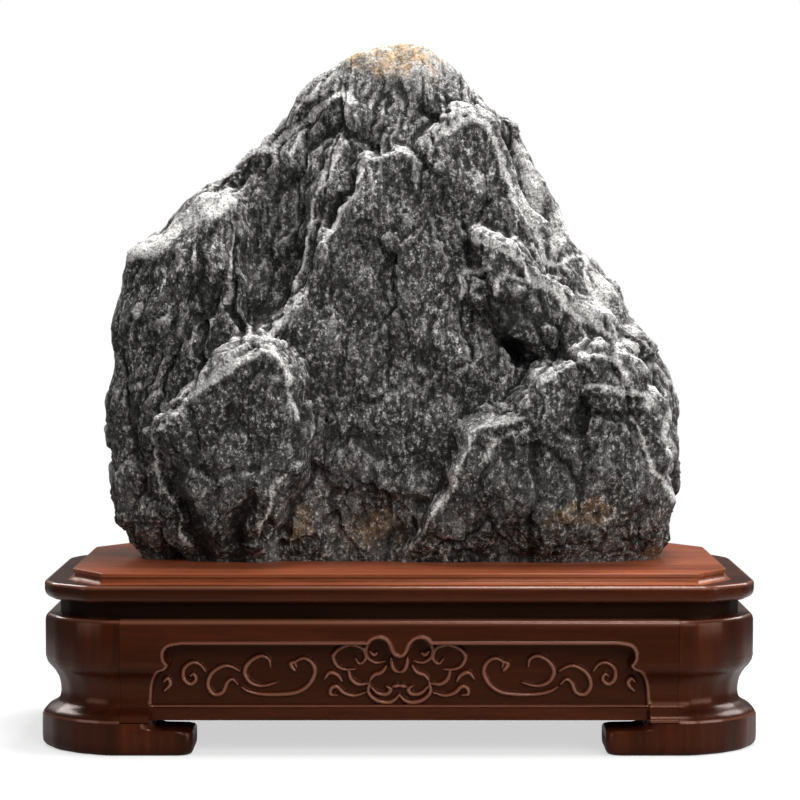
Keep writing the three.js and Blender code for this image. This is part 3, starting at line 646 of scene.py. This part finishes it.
def inside_distance(outline, x, z):
    """Distance to the rim of an outline, positive inside it."""
    nearest = np.full(x.shape, np.inf)
    inside = np.zeros(x.shape, bool)
    for i, b in enumerate(outline):
        a = outline[i - 1]
        nearest = np.minimum(nearest, segment_distance(x, z, a, b)[0])
        if a[1] != b[1]:
            crossing = (b[0] - a[0]) * (z - a[1]) / (b[1] - a[1]) + a[0]
            inside ^= ((a[1] > z) != (b[1] > z)) & (x < crossing)
    return np.where(inside, nearest, -nearest)


def line_share(x, z, line, widths, wide=1):
    """1 on a line, falling to 0 at its half width, which may be a different one at each point."""
    share = np.zeros(x.shape)
    for a, b, wa, wb in zip(line, line[1:], widths, widths[1:]):
        away, t = segment_distance(x, z, a, b)
        share = np.maximum(share, 1 - away / (wide * (wa + t * (wb - wa))))
    return np.clip(share, 0, 1)


def slab_levels(slabs, insides, x, z, edge):
    """Level of each slab, with its chipped rim and steep sides."""
    levels = []
    for (rise, tilt_x, tilt_z, outline), inside in zip(slabs, insides):
        middle = np.mean(outline, axis=0)
        plane = SLAB_RELIEF * (rise + tilt_x * (x - middle[0]) + tilt_z * (z - middle[1]))
        chipped = plane - EDGE_SLOPE * np.clip(edge - inside, 0, edge)
        levels.append(np.maximum(chipped + SLAB_FALL * np.minimum(0, inside), GAP_FLOOR))
    return np.stack(levels)


def slab_insides(slabs, x, z):
    return np.stack([inside_distance(outline, x, z) + SLAB_GROW for *_, outline in slabs])


def slab_rims(slabs, x, z):
    """How far inside its top slab each point lies, how free that rim is and how far it faces up."""
    insides = slab_insides(slabs, x, z)
    levels = slab_levels(slabs, insides, x, z, SLAB_EDGE)
    winner = levels.argmax(axis=0)[None]
    inside = np.take_along_axis(insides, winner, 0)[0]
    slope_x, slope_z = (
        (np.take_along_axis(slab_insides(slabs, x + dx, z + dz), winner, 0)[0] - inside) / RIM_PROBE
        for dx, dz in ((RIM_PROBE, 0), (0, RIM_PROBE))
    )
    beyond_x, beyond_z = x - RIM_REACH * slope_x, z - RIM_REACH * slope_z
    beyond = slab_levels(slabs, slab_insides(slabs, beyond_x, beyond_z), beyond_x, beyond_z, SLAB_EDGE)
    free = smoothstep(2, 7, levels.max(axis=0) - beyond.max(axis=0))
    return inside, free, -slope_z


def wander(x, z):
    """Slab edges are never straight, so their outlines are read through this gentle shift."""
    return (
        x + 2.2 * np.sin(0.083 * z + 0.6) + 1.3 * np.sin(0.21 * z + 0.11 * x),
        z + 2 * np.sin(0.09 * x + 1.1) + 1.2 * np.sin(0.19 * x - 0.13 * z + 2),
    )


def crinkled(x, z):
    """The gentle shift with a finer, rougher one on top."""
    wx, wz = wander(x, z)
    level = np.zeros(x.shape)
    shift_x, shift_z = (CRINKLE * layered_noise(x, level, z, 15, 4, seed) for seed in (11, 21))
    return wx + shift_x, wz + shift_z


def value_noise(x, y, z, size, seed):
    """Smooth noise from -1 to 1 with lumps of the given size."""
    values = np.random.default_rng(seed).random(HASH_SIZE) * 2 - 1
    cells = [np.floor(c / size).astype(np.int64) for c in (x, y, z)]
    parts = [c / size - k for c, k in zip((x, y, z), cells)]
    parts = [p * p * (3 - 2 * p) for p in parts]
    total = np.zeros(x.shape)
    for corner in range(8):
        steps = [(corner >> k) & 1 for k in range(3)]
        key = sum((c + s) * prime for c, s, prime in zip(cells, steps, HASH_PRIMES))
        weight = np.ones(x.shape)
        for part, step in zip(parts, steps):
            weight = weight * (part if step else 1 - part)
        total += weight * values[(key ^ (key >> HASH_SHIFT)) % HASH_SIZE]
    return total


def layered_noise(x, y, z, size, octaves, seed):
    total = np.zeros(x.shape)
    for k in range(octaves):
        total += value_noise(x, y, z, size / 2**k, seed + k) / 1.8**k
    return total


def broken_faces(points, size, seed):
    """Flat chipped faces of random level and tilt in a shaken lattice, and the distance to their borders."""
    rng = np.random.default_rng(seed)
    shake = rng.random((HASH_SIZE, 3))
    lean = rng.normal(size=(HASH_SIZE, 4))
    place = points / np.array(size)
    cell = np.floor(place).astype(np.int64)
    nearest = np.full(len(points), np.inf)
    second = nearest.copy()
    level = np.zeros(len(points))
    for step in itertools.product((-1, 0, 1), repeat=3):
        other = cell + np.array(step)
        mixed = (other * np.array(HASH_PRIMES)).sum(axis=1)
        key = (mixed ^ (mixed >> HASH_SHIFT)) % HASH_SIZE
        offset = place - other - shake[key]
        away = (offset**2).sum(axis=1)
        plane = 0.4 * lean[key, 0] + (lean[key, 1:] * offset).sum(axis=1)
        level = np.where(away < nearest, plane, level)
        second = np.minimum(second, np.maximum(nearest, away))
        nearest = np.minimum(nearest, away)
    return level, np.sqrt(second) - np.sqrt(nearest)


def section_half(count, front):
    """Half of the level section in shares of its half sizes, evenly spaced."""
    angle = np.linspace(0, np.pi, 4001)
    power = 2 / SECTION_POWER
    across = -np.sign(np.cos(angle)) * np.abs(np.cos(angle)) ** power
    depth = np.abs(np.sin(angle)) ** power
    steps = np.hypot(np.diff(across), SECTION_ASPECT * np.diff(depth))
    length = np.concatenate([[0], np.cumsum(steps)])
    wanted = np.linspace(0, length[-1], count, endpoint=False)
    across, depth = np.interp(wanted, length, across), np.interp(wanted, length, depth)
    return (across, -depth) if front else (-across, depth)


def stone_shell():
    """The stone's faces and broken slabs as a closed stack of level sections."""
    front = section_half(FRONT_COLUMNS, True)
    back = section_half(BACK_COLUMNS, False)
    across = np.concatenate([front[0], back[0]])[None, :]
    depth = np.concatenate([front[1], back[1]])[None, :]
    height = ROCK_HEIGHT * (1 - (1 - np.arange(ROCK_ROWS) / ROCK_ROWS) ** ROW_CROWDING)
    left, right, near, far = (
        table_at(t, height)[:, None] for t in (ROCK_LEFT, ROCK_RIGHT, ROCK_FRONT, ROCK_BACK)
    )
    x = (left + right) / 2 + (right - left) / 2 * across
    y = (near + far) / 2 + (far - near) / 2 * depth
    z = np.repeat(height[:, None], x.shape[1], axis=1)
    normal_x = np.sign(across) * np.abs(across) ** (SECTION_POWER - 1) / (right - left)
    normal_y = np.sign(depth) * np.abs(depth) ** (SECTION_POWER - 1) / (far - near)
    length = np.hypot(normal_x, normal_y)
    normal_x, normal_y = normal_x / length, normal_y / length

    wx, wz = crinkled(x, z)
    is_front = np.repeat(depth < 0, ROCK_ROWS, axis=0)
    edge = SLAB_EDGE * (1 + 0.9 * layered_noise(x, y, z, 22, 2, 81)).clip(0.3, 2.2)
    relief = np.zeros(x.shape)
    for slabs, side in ((FRONT_SLABS, is_front), (BACK_SLABS, ~is_front)):
        insides = slab_insides(slabs, wx[side], wz[side])
        relief[side] = slab_levels(slabs, insides, wx[side], wz[side], edge[side]).max(axis=0)
    crack = np.zeros(x.shape)
    for deep, line in CRACKS:
        share = line_share(wx, wz, [p[:2] for p in line], [1.5 * p[2] for p in line])
        crack = np.maximum(crack, np.where(is_front, deep * share, 0))
    relief = (relief - crack) * smoothstep(0.2, 0.75, np.abs(normal_y))
    swell = 1.1 * np.sin(0.12 * z + 0.09 * x + 0.07 * y)
    ripple = 0.9 * np.sin(0.2 * x - 0.16 * z + 0.21 * y + 1.3)
    relief += swell + ripple
    fade = (0.45 + 0.55 * smoothstep(0, 22, z)) * smoothstep(0, 26, far - near)
    grid = np.stack([x + normal_x * relief * fade, y + normal_y * relief * fade, z], axis=-1)
    grid[0, :, 2] -= STONE_SUNK

    count = x.shape[1]
    foot = np.array([[0, (ROCK_FRONT[0][1] + ROCK_BACK[0][1]) / 2, -STONE_SUNK]])
    peak = np.array([[ROCK_LEFT[-1][1], ROCK_FRONT[-1][1], ROCK_HEIGHT]])
    points = np.concatenate([grid.reshape(-1, 3), foot, peak])
    index = np.arange(ROCK_ROWS * count).reshape(ROCK_ROWS, count)
    following = np.roll(index, -1, axis=1)
    quads = np.stack([index[:-1], following[:-1], following[1:], index[1:]], axis=-1).reshape(-1, 4)
    faces = quads.tolist()
    foot_key, peak_key = ROCK_ROWS * count, ROCK_ROWS * count + 1
    faces += [(foot_key, following[0, i], index[0, i]) for i in range(count)]
    faces += [(peak_key, index[-1, i], following[-1, i]) for i in range(count)]
    return mesh_object("stone", points.tolist(), faces)


def remade(piece, kind, **settings):
    """Swaps a mesh for the result of one modifier."""
    modifier = piece.modifiers.new("remade", kind)
    for key, value in settings.items():
        setattr(modifier, key, value)
    bpy.context.view_layer.update()
    graph = bpy.context.evaluated_depsgraph_get()
    result = bpy.data.meshes.new_from_object(piece.evaluated_get(graph))
    piece.modifiers.clear()
    old = piece.data
    piece.data = result
    bpy.data.meshes.remove(old)


def vertex_values(mesh, key):
    values = np.empty(len(mesh.vertices) * 3, dtype=np.float32)
    mesh.vertices.foreach_get(key, values)
    return values.reshape(-1, 3).astype(float)


def neighbour_mean(mesh):
    """A function that evens values out over the mesh by a number of rounds."""
    count = len(mesh.vertices)
    edges = np.empty(len(mesh.edges) * 2, dtype=np.int32)
    mesh.edges.foreach_get("vertices", edges)
    edges = edges.reshape(-1, 2)
    here = np.concatenate([edges[:, 0], edges[:, 1]])
    there = np.concatenate([edges[:, 1], edges[:, 0]])
    near = np.maximum(np.bincount(here, minlength=count), 1)

    def mean(values, rounds):
        for _ in range(rounds):
            values = np.bincount(here, values[there], count) / near
        return values

    return mean


def spread_out(points):
    """Coordinates whose upright lines fan out from the summit, as the stone's flutes do."""
    x, y, z = points.T
    return np.stack([x / (1.3 - z / ROCK_HEIGHT * 0.75), y, z], axis=-1)


def weather(stone):
    """Chips, strata and grain over the slabs, and the marks that the finish reads: pale weathering with
    painted highlight on up-facing faces and rims, painted shade in hollows, cracks and shaded faces, and
    rust.
    """
    mesh = stone.data
    points = vertex_values(mesh, "co") / MM
    mean = neighbour_mean(mesh)
    facing = np.stack([mean(n, 3) for n in vertex_values(mesh, "normal").T], axis=-1)
    facing /= np.linalg.norm(facing, axis=1, keepdims=True)
    x, y, z = points.T

    warp = np.stack([WARP_REACH * layered_noise(x, y, z, 24, 3, 31 + 10 * k) for k in range(3)], axis=-1)
    fanned = spread_out(points + warp)
    columns, column_gap = broken_faces(fanned, COLUMN_SIZE, 60)
    blocks, block_gap = broken_faces(fanned, BLOCK_SIZE, 61)
    chips, _ = broken_faces(fanned + 0.5 * warp, CHIP_SIZE, 62)
    open_column = smoothstep(-0.15, 0.45, layered_noise(x, y, z, 46, 2, 67))
    open_block = smoothstep(-0.3, 0.4, layered_noise(x, y, z, 20, 2, 68))
    fissure = (1 - smoothstep(0.03, 0.13, column_gap)) * open_column
    chink = (1 - smoothstep(0.03, 0.2, block_gap)) * open_block
    grain = layered_noise(x, y, z, 6, 3, 64)
    detail = COLUMN_RISE * columns + BLOCK_RISE * blocks + CHIP_RISE * chips + GRAIN_RISE * grain
    detail -= FISSURE_DEPTH * fissure + CHINK_DEPTH * chink
    detail *= (0.3 + 0.7 * smoothstep(0, 12, z)) * (1 - 0.6 * smoothstep(262, 290, z))
    detail *= 1.2 - 0.2 * smoothstep(70, 150, z)
    moved = points + facing * detail[:, None]
    moved[:, 2] = np.clip(moved[:, 2], 0, ROCK_HEIGHT - 0.1)
    moved[points[:, 2] < 0.2, 2] = 0
    mesh.vertices.foreach_set("co", ((moved + (0, 0, PANEL_TOP)) * MM).astype(np.float32).ravel())
    mesh.update()

    facing = vertex_values(mesh, "normal")
    flat = np.stack([mean(c, 4) for c in moved.T], axis=-1)
    flatter = np.stack([mean(c, 30) for c in flat.T], axis=-1)
    edge = ((moved - flat) * facing).sum(axis=1)
    bulk = ((flat - flatter) * facing).sum(axis=1)
    up = mean(facing[:, 2], 2)
    wobble = layered_noise(x, y, z, 12, 3, 71)
    wx, wz = crinkled(x, z)
    is_front = y < (table_at(ROCK_FRONT, z) + table_at(ROCK_BACK, z)) / 2

    # Pale: painted highlight on up-facing faces and up-facing convex edges, with pale weathering streaks low
    # on the stone
    pale = 0.45 * smoothstep(0.6, 0.95, up)
    pale += 0.13 * (1 - smoothstep(30, 100, z)) * (0.5 + 1.4 * wobble).clip(0, 1.6)
    pale += 0.6 * smoothstep(0.1, 0.4, edge) * smoothstep(-0.2, 0.5, up)
    # Painted highlight along the free, upward-facing rims of the slabs
    for slabs, side in ((FRONT_SLABS, is_front), (BACK_SLABS, ~is_front)):
        inside, free, rim_up = slab_rims(slabs, wx[side], wz[side])
        wide = 1.5 + 1.1 * wobble[side].clip(-0.8, 1)
        rim = (1 - smoothstep(0.4 * wide, wide, np.abs(inside - 0.6))) * free
        pale[side] = np.maximum(pale[side], 0.6 * rim * smoothstep(0, 0.7, rim_up))
    # Pale ridge lines: partly pale weathered edges, partly painted highlight
    for half_width, line in PALE_LINES:
        wide = half_width * (0.62 + 0.34 * wobble.clip(-0.8, 1))
        share = line_share(wx, wz, line, [1] * len(line), wide)
        pale = np.maximum(pale, np.where(is_front, smoothstep(0.0, 0.4, share), 0))

    def patch(place, ragged):
        cx, cz, rx, rz = place
        away = np.hypot((wx - cx) / rx, (wz - cz) / rz) + ragged * wobble
        return np.where(is_front, 1 - smoothstep(0.55, 1.1, away), 0)

    # Pale faces, partly weathering and partly painted light, then the stone paler towards its summit
    for place in PALE_PATCHES:
        pale = np.maximum(pale, 0.78 * patch(place, 0.3))
    pale = np.maximum(pale, 0.5 * smoothstep(264, 298, z + 10 * wobble))
    # Painted shade in hollows, concave creases, fissures and chinks, and on the shaded faces
    dark = smoothstep(0.3, 2.2, -bulk) * smoothstep(2, 16, z) + 0.7 * smoothstep(0.12, 0.5, -edge)
    dark = np.maximum(dark, np.maximum(0.95 * fissure, 0.7 * chink) * (1 - smoothstep(260, 290, z)))
    for place in SHADED_PATCHES:
        dark = np.maximum(dark, 0.45 * patch(place, 0.3))
    # Painted shade inside the open cracks
    for deep, line in CRACKS:
        share = line_share(wx, wz, [p[:2] for p in line], [1.3 * p[2] for p in line])
        shade_amount = smoothstep(0.1, 0.6, share) * min(1, 0.35 + 0.09 * deep)
        dark = np.maximum(dark, np.where(is_front, shade_amount, 0))
    rust = np.zeros(len(points))
    for place in RUST_PATCHES:
        rust = np.maximum(rust, 0.6 * patch(place, 0.35))
    rust = np.maximum(rust, patch(GLOW_PATCH, 0.3))
    dark *= 1 - 0.8 * smoothstep(0.3, 0.9, pale)
    marks = np.stack([np.clip(pale, 0, 1), np.clip(dark, 0, 1), rust, np.ones(len(points))], axis=-1)
    set_marks(stone, "marks", marks)


def make_stone():
    stone = stone_shell()
    remade(stone, "REMESH", mode="VOXEL", voxel_size=STONE_VOXEL * MM)
    weather(stone)
    triangles = sum(len(face.vertices) - 2 for face in stone.data.polygons)
    remade(stone, "DECIMATE", ratio=STONE_TRIANGLES / triangles)
    smooth_by_angle(stone, STONE_SMOOTH)
    return stone


# Stand pieces


def smooth_line(line, steps):
    """A curve through the points of a line."""
    points = [np.array(p, float) for p in line]
    points = [2 * points[0] - points[1], *points, 2 * points[-1] - points[-2]]
    curve = []
    for p0, p1, p2, p3 in zip(points, points[1:], points[2:], points[3:]):
        for t in np.arange(steps) / steps:
            curve.append(0.5 * (2 * p1 + (p2 - p0) * t + (2 * p0 - 5 * p1 + 4 * p2 - p3) * t * t
                                + (3 * p1 - p0 - 3 * p2 + p3) * t**3))
    return [*curve, points[-2]]


# The leg's moulding as a close-set curve
LEG_PROFILE = [(float(z), float(inset)) for z, inset in smooth_line(LEG_CURVE, 4)] + LEG_TOP


def set_marks(piece, name, marks):
    attribute = piece.data.attributes.new(name, "FLOAT_COLOR", "POINT")
    attribute.data.foreach_set("color", np.asarray(marks, dtype=np.float32).ravel())


def worn_and_highlit_profile(profile):
    """Close-set levels of a moulding as (height, inset, wear and painted highlight), worn and given a painted
    highlight where it turns outwards.
    """
    turns = [0]
    for (z0, in0), (z1, in1), (z2, in2) in zip(profile, profile[1:], profile[2:]):
        turns.append(math.atan2(in2 - in1, z2 - z1) - math.atan2(in1 - in0, z1 - z0))
    wear_and_highlight = [0.8 * float(smoothstep(0.3, 0.55, turn)) for turn in (*turns, 0)]
    levels = []
    for (z0, in0), (z1, in1), r0, r1 in zip(profile, profile[1:], wear_and_highlight, wear_and_highlight[1:]):
        share = WEAR_AND_HIGHLIGHT_REACH / math.hypot(z1 - z0, in1 - in0)
        levels.append((z0, in0, r0))
        if share < 0.5 and max(r0, r1) > 0:
            levels += [(z0 + t * (z1 - z0), in0 + t * (in1 - in0), 0) for t in (share, 1 - share)]
    return [*levels, (*profile[-1], 0)]


def moulded_board(name, loop, profile):
    levels = worn_and_highlit_profile(profile)
    rings = [[(x, y, z) for x, y in inset_loop(loop, inset)] for z, inset, _ in levels]
    piece = mesh_object(name, *loft(rings))
    # Outward turns of the moulding get wear and a painted highlight
    set_marks(piece, "carving", [(wear_and_highlight, 0, 0, 1) for *_, wear_and_highlight in levels for _ in loop])
    smooth_by_angle(piece, MOULDING_SMOOTH)
    return piece


def make_leg(name, side_x, side_y):
    """A corner post and its spreading foot; the front right one, mirrored by the two sides."""
    corner_count = len(FRAME_CORNER) * (EASE_STEPS + 1)
    loop = eased_loop(whole_loop(FRAME_CORNER), FRAME_EASE, EASE_STEPS)

    def placed(points, z):
        return [(x * side_x, y * side_y, z) for x, y in points]

    def post_ring(z, inset):
        inner_x, inner_y = HALF_WIDTH - POST_DEPTH, -HALF_DEPTH + POST_DEPTH
        corner = inset_loop(loop, inset)[:corner_count]
        return placed(
            [(SEAM_X, -HALF_DEPTH + inset), *corner, (HALF_WIDTH - inset, -SEAM_Y),
             (inner_x, -SEAM_Y), (inner_x, inner_y), (SEAM_X, inner_y)], z)

    def foot_ring(z, inset, end_x, end_y):
        front, side = -HALF_DEPTH + inset, HALF_WIDTH - inset
        inner_x, inner_y = HALF_WIDTH - FOOT_DEPTH, -HALF_DEPTH + FOOT_DEPTH
        turns = [math.radians(90 * k / FOOT_END_STEPS) for k in range(FOOT_END_STEPS + 1)]
        curve = [(1 - math.sin(t), 1 - math.cos(t)) for t in turns]
        first = [(end_x + FOOT_END_ROUND * b, front + FOOT_END_ROUND * a) for a, b in curve]
        last = [(side - FOOT_END_ROUND * b, -end_y - FOOT_END_ROUND * a) for a, b in curve]
        corner = inset_loop(loop, inset)[:corner_count]
        return placed([(end_x, inner_y), *first, *corner, *last, (inner_x, -end_y), (inner_x, inner_y)], z)

    post_levels = worn_and_highlit_profile(LEG_PROFILE)
    # The foot's lip gets wear and a painted highlight
    lip = [(z, inset, FOOT_LIP_WEAR_AND_HIGHLIGHT if z < FOOT_LIP_TOP else wear_and_highlight) for z, inset, wear_and_highlight in post_levels]
    levels = [*POST_ROOT, *lip]
    post_rings = [post_ring(z, inset) for z, inset, _ in levels]
    post_points, post_faces = loft(post_rings)
    foot_points, foot_faces = loft([foot_ring(*level) for level in FOOT_LEVELS])
    shift = len(post_points)
    faces = post_faces + [tuple(i + shift for i in face) for face in foot_faces]
    leg = mesh_object(name, post_points + foot_points, faces)
    outward(leg)
    marks = [(wear_and_highlight, 0, 0, 1) for *_, wear_and_highlight in levels for _ in post_rings[0]]
    set_marks(leg, "carving", marks + [(0, 0, 0, 1)] * len(foot_points))
    smooth_by_angle(leg, MOULDING_SMOOTH)
    return leg


def mirrored(line):
    return [(-x, z) for x, z in line[::-1]]


def field_outline(half_field, scale):
    end = [(-half_field + inward, z) for inward, z in FIELD_END]
    crest = [(x * scale, z) for x, z in FIELD_CREST]
    half = smooth_line(end, 4) + smooth_line(crest, 4)
    half = [(float(x), float(z)) for x, z in half]
    return half + mirrored(half)[1:]


def make_apron(name, half_length, half_field, ridges, scale, place, turn):
    """A carved board lying along X, its front facing -Y, then turned and put in place."""
    columns = int(2 * half_length / CARVE_STEP)
    rows = int((FRAME_TOP - APRON_BOTTOM) / CARVE_STEP)
    along = np.linspace(-half_length, half_length, columns)
    up = np.linspace(APRON_BOTTOM, FRAME_TOP, rows)
    x, z = np.meshgrid(along, up, indexing="ij")
    inset = table_at(LEG_PROFILE, z)

    rim = inside_distance(field_outline(half_field, scale), x, z)
    bead = np.where(z > RAIL_TOP + 1, 1 - ((rim + BEAD_HALF_WIDTH) / BEAD_HALF_WIDTH) ** 2, 0)
    inset = inset - BEAD_RISE * np.sqrt(np.clip(bead, 0, 1))
    in_rail = smoothstep(-0.6, 0.6, half_field - np.abs(x)) * smoothstep(-0.6, 0.6, RAIL_TOP + 1 - z)
    inset = inset + (RAIL_INSET - inset) * in_rail
    above_rail = (z - RAIL_TOP - RAIL_BEAD_LIFT) / RAIL_BEAD_HALF_WIDTH
    rail_bead = np.clip(1 - above_rail**2, 0, 1) * (np.abs(x) < half_field)
    ground = FIELD_INSET + 0.03 * value_noise(x, z, z, 6, 81)
    inset = inset + (ground - inset) * smoothstep(-0.1, 1.1, rim)
    inset = inset - RAIL_BEAD_RISE * np.sqrt(rail_bead) * smoothstep(-1.5, 0.5, rim)

    rise = np.zeros(x.shape)
    for line in ridges:
        curve = smooth_line(line, 6)
        low = np.min(curve, axis=0) - 3
        high = np.max(curve, axis=0) + 3
        near = (x > low[0]) & (x < high[0]) & (z > low[1]) & (z < high[1])
        share = np.linspace(0, 1, len(curve))
        taper = RIDGE_HALF_WIDTH * scale**0.5 * (0.62 + 0.55 * np.sin(np.pi * share) ** 0.7)
        line_rise = np.zeros(np.count_nonzero(near))
        for a, b, wide_a, wide_b in zip(curve, curve[1:], taper, taper[1:]):
            away, t = segment_distance(x[near], z[near], a, b)
            wide = wide_a + t * (wide_b - wide_a)
            crown = np.clip(1 - (away / wide) ** 2, 0, 1) ** 0.8
            line_rise = np.maximum(line_rise, crown * RIDGE_RISE * (0.55 + 0.45 * wide / RIDGE_HALF_WIDTH))
        rise[near] = np.maximum(rise[near], line_rise)
    inset = np.where(rise > 0, np.minimum(inset, ground - rise), inset)
    crown = np.maximum(rise / RIDGE_RISE, np.maximum(np.clip(bead, 0, 1), rail_bead))
    # Ridge crowns, beads and the top edge get wear and a painted highlight
    wear_and_highlight = np.maximum(smoothstep(0.5, 0.95, crown), TOP_EDGE_WEAR_AND_HIGHLIGHT * smoothstep(*TOP_EDGE, z))
    # The recessed ground between the ridges gets painted shade
    recess_shade = smoothstep(-0.2, 1.2, rim) * (1 - smoothstep(0.1, 0.5, crown))

    front = np.stack([x, inset, z], axis=-1)
    behind = np.zeros((columns, 2, 3))
    behind[:, :, 0] = along[:, None]
    behind[:, :, 1] = APRON_DEPTH
    behind[:, :, 2] = (FRAME_TOP, APRON_BOTTOM)
    rings = np.concatenate([front, behind], axis=1)
    cos, sin = round(math.cos(turn)), round(math.sin(turn))
    turned = rings.copy()
    turned[..., 0] = cos * rings[..., 0] - sin * rings[..., 1] + place[0]
    turned[..., 1] = sin * rings[..., 0] + cos * rings[..., 1] + place[1]
    count = rows + 2
    index = np.arange(columns * count).reshape(columns, count)
    following = np.roll(index, -1, axis=1)
    quads = np.stack([index[:-1], index[1:], following[1:], following[:-1]], axis=-1).reshape(-1, 4)
    faces = quads.tolist() + [tuple(index[0]), tuple(index[-1][::-1])]
    apron = mesh_object(name, turned.reshape(-1, 3).tolist(), faces)
    marks = np.zeros((columns, count, 4))
    marks[:, :rows, 0] = wear_and_highlight
    marks[:, :rows, 1] = recess_shade
    set_marks(apron, "carving", marks)
    smooth_by_angle(apron, CARVING_SMOOTH)
    return apron


# Finishes

wood_x = wood_material("red_wood_along_x", *RED_WOOD, ALONG_X)
wood_y = wood_material("red_wood_along_y", *RED_WOOD, ALONG_Y)
wood_z = wood_material("red_wood_along_z", *RED_WOOD, ALONG_Z)
top_wood = wood_material("top_wood", *TOP_WOOD_PAINTED_LIGHTER, ALONG_X)
waist_wood_painted_shade = wood_material("waist_wood_painted_shade", *WAIST_WOOD_PAINTED_SHADE, ALONG_X)
stone_finish = stone_material()

# Pieces

dress(make_stone(), "rock", stone_finish)

panel_loop = eased_loop(whole_loop(PANEL_CORNER), PANEL_EASE, 2)
plate_loop = eased_loop(whole_loop(PLATE_CORNER), PLATE_EASE, EASE_STEPS)
waist_loop = inset_loop(eased_loop(whole_loop(FRAME_CORNER), FRAME_EASE, EASE_STEPS), WAIST_INSET)
dress(moulded_board("panel_board", panel_loop, PANEL_PROFILE), "top_panel", top_wood)
dress(moulded_board("plate_board", plate_loop, PLATE_PROFILE), "top_plate", wood_x)
waist_profile = [(FRAME_TOP, 0), (PLATE_BOTTOM, 0)]
dress(moulded_board("waist_band", waist_loop, waist_profile), "waist", waist_wood_painted_shade)

whole_cloud = CLOUD + [mirrored(line) for line in CLOUD]
long_ridges = whole_cloud + SCROLLS + [mirrored(line) for line in SCROLLS]
short_ridges = [
    [(x * SHORT_CLOUD_SCALE, RAIL_TOP + (z - RAIL_TOP) * SHORT_CLOUD_SCALE) for x, z in line]
    for line in whole_cloud
]
LONG = (SEAM_X - SEAM_GAP, LONG_FIELD, long_ridges, 1)
SHORT = (SEAM_Y - SEAM_GAP, SHORT_FIELD, short_ridges, SHORT_CLOUD_SCALE)
APRONS = [
    ("front", LONG, (0, -HALF_DEPTH), 0, wood_x),
    ("back", LONG, (0, HALF_DEPTH), math.pi, wood_x),
    ("left", SHORT, (-HALF_WIDTH, 0), -math.pi / 2, wood_y),
    ("right", SHORT, (HALF_WIDTH, 0), math.pi / 2, wood_y),
]
for side, shape, place, turn, wood in APRONS:
    apron = make_apron("carved_" + side, *shape, place, turn)
    dress(apron, "apron_" + side, wood)

for depth_name, side_y in (("front", 1), ("back", -1)):
    for side_name, side_x in (("left", -1), ("right", 1)):
        leg = make_leg(f"corner_{depth_name}_{side_name}", side_x, side_y)
        dress(leg, f"leg_{depth_name}_{side_name}", wood_z)

# Floor, light and camera


def make_floor():
    """A round pale floor that melts into the backdrop at its rim."""
    points = [(0, 0, 0)]
    faces = []
    for r in range(1, FLOOR_RINGS + 1):
        radius = FLOOR_REACH * r / FLOOR_RINGS
        for s in range(FLOOR_SPOKES):
            angle = 2 * math.pi * s / FLOOR_SPOKES
            points.append((radius * math.cos(angle), radius * math.sin(angle), 0))
    for s in range(FLOOR_SPOKES):
        follow = (s + 1) % FLOOR_SPOKES
        faces.append((0, 1 + s, 1 + follow))
        for r in range(FLOOR_RINGS - 1):
            inner, outer = 1 + r * FLOOR_SPOKES, 1 + (r + 1) * FLOOR_SPOKES
            faces.append((inner + s, outer + s, outer + follow, inner + follow))
    floor = mesh_object("floor", points, faces)
    n = Nodes("pale_floor")
    fill(n.shader, {"Base Color": FLOOR_COLOUR, "Roughness": 0.6, "Specular IOR Level": 0.2})
    coordinates = n.node("TexCoord")
    distance = n.node("VectorMath", operation="LENGTH")
    n.link(coordinates.outputs["Object"], distance.inputs[0])
    fade = n.node("MapRange", interpolation_type="SMOOTHSTEP")
    fill(fade, {"From Min": FLOOR_FADE_START, "From Max": FLOOR_FADE_END, "To Min": FLOOR_ALPHA, "To Max": 0})
    n.link(distance.outputs["Value"], fade.inputs["Value"])
    n.link(fade.outputs["Result"], n.shader.inputs["Alpha"])
    floor.data.materials.append(n.material)


def add_light(name, place, aim, size, power):
    light = bpy.data.lights.new(name, "AREA")
    light.shape = "RECTANGLE"
    light.size, light.size_y = size
    light.energy = power
    lamp = bpy.data.objects.new(name, light)
    lamp.location = place
    lamp.rotation_euler = (Vector(aim) - Vector(place)).to_track_quat("-Z", "Y").to_euler()
    lamp.visible_camera = False
    bpy.context.scene.collection.objects.link(lamp)


def make_world():
    """A white surround that is dimmer as a light than it is to look at."""
    world = bpy.data.worlds.new("studio")
    world.use_nodes = True
    tree = world.node_tree
    seen = tree.nodes["Background"]
    fill(seen, {"Color": WHITE, "Strength": 1})
    glow = tree.nodes.new("ShaderNodeBackground")
    fill(glow, {"Color": WHITE, "Strength": WORLD_GLOW})
    path = tree.nodes.new("ShaderNodeLightPath")
    either = tree.nodes.new("ShaderNodeMixShader")
    tree.links.new(path.outputs["Is Camera Ray"], either.inputs["Fac"])
    tree.links.new(glow.outputs["Background"], either.inputs[1])
    tree.links.new(seen.outputs["Background"], either.inputs[2])
    tree.links.new(either.outputs["Shader"], tree.nodes["World Output"].inputs["Surface"])
    bpy.context.scene.world = world


make_floor()
scene = bpy.context.scene
scene.view_settings.view_transform = "Standard"
make_world()
for light in LIGHTS:
    add_light(*light)

lens = bpy.data.cameras.new("camera")
lens.lens = CAMERA_LENS
lens.sensor_width = CAMERA_SENSOR
camera = bpy.data.objects.new("camera", lens)
camera.location = CAMERA_PLACE
camera.rotation_euler = (math.radians(90 - CAMERA_PITCH), 0, 0)
scene.collection.objects.link(camera)
scene.camera = camera

bpy.context.view_layer.update()
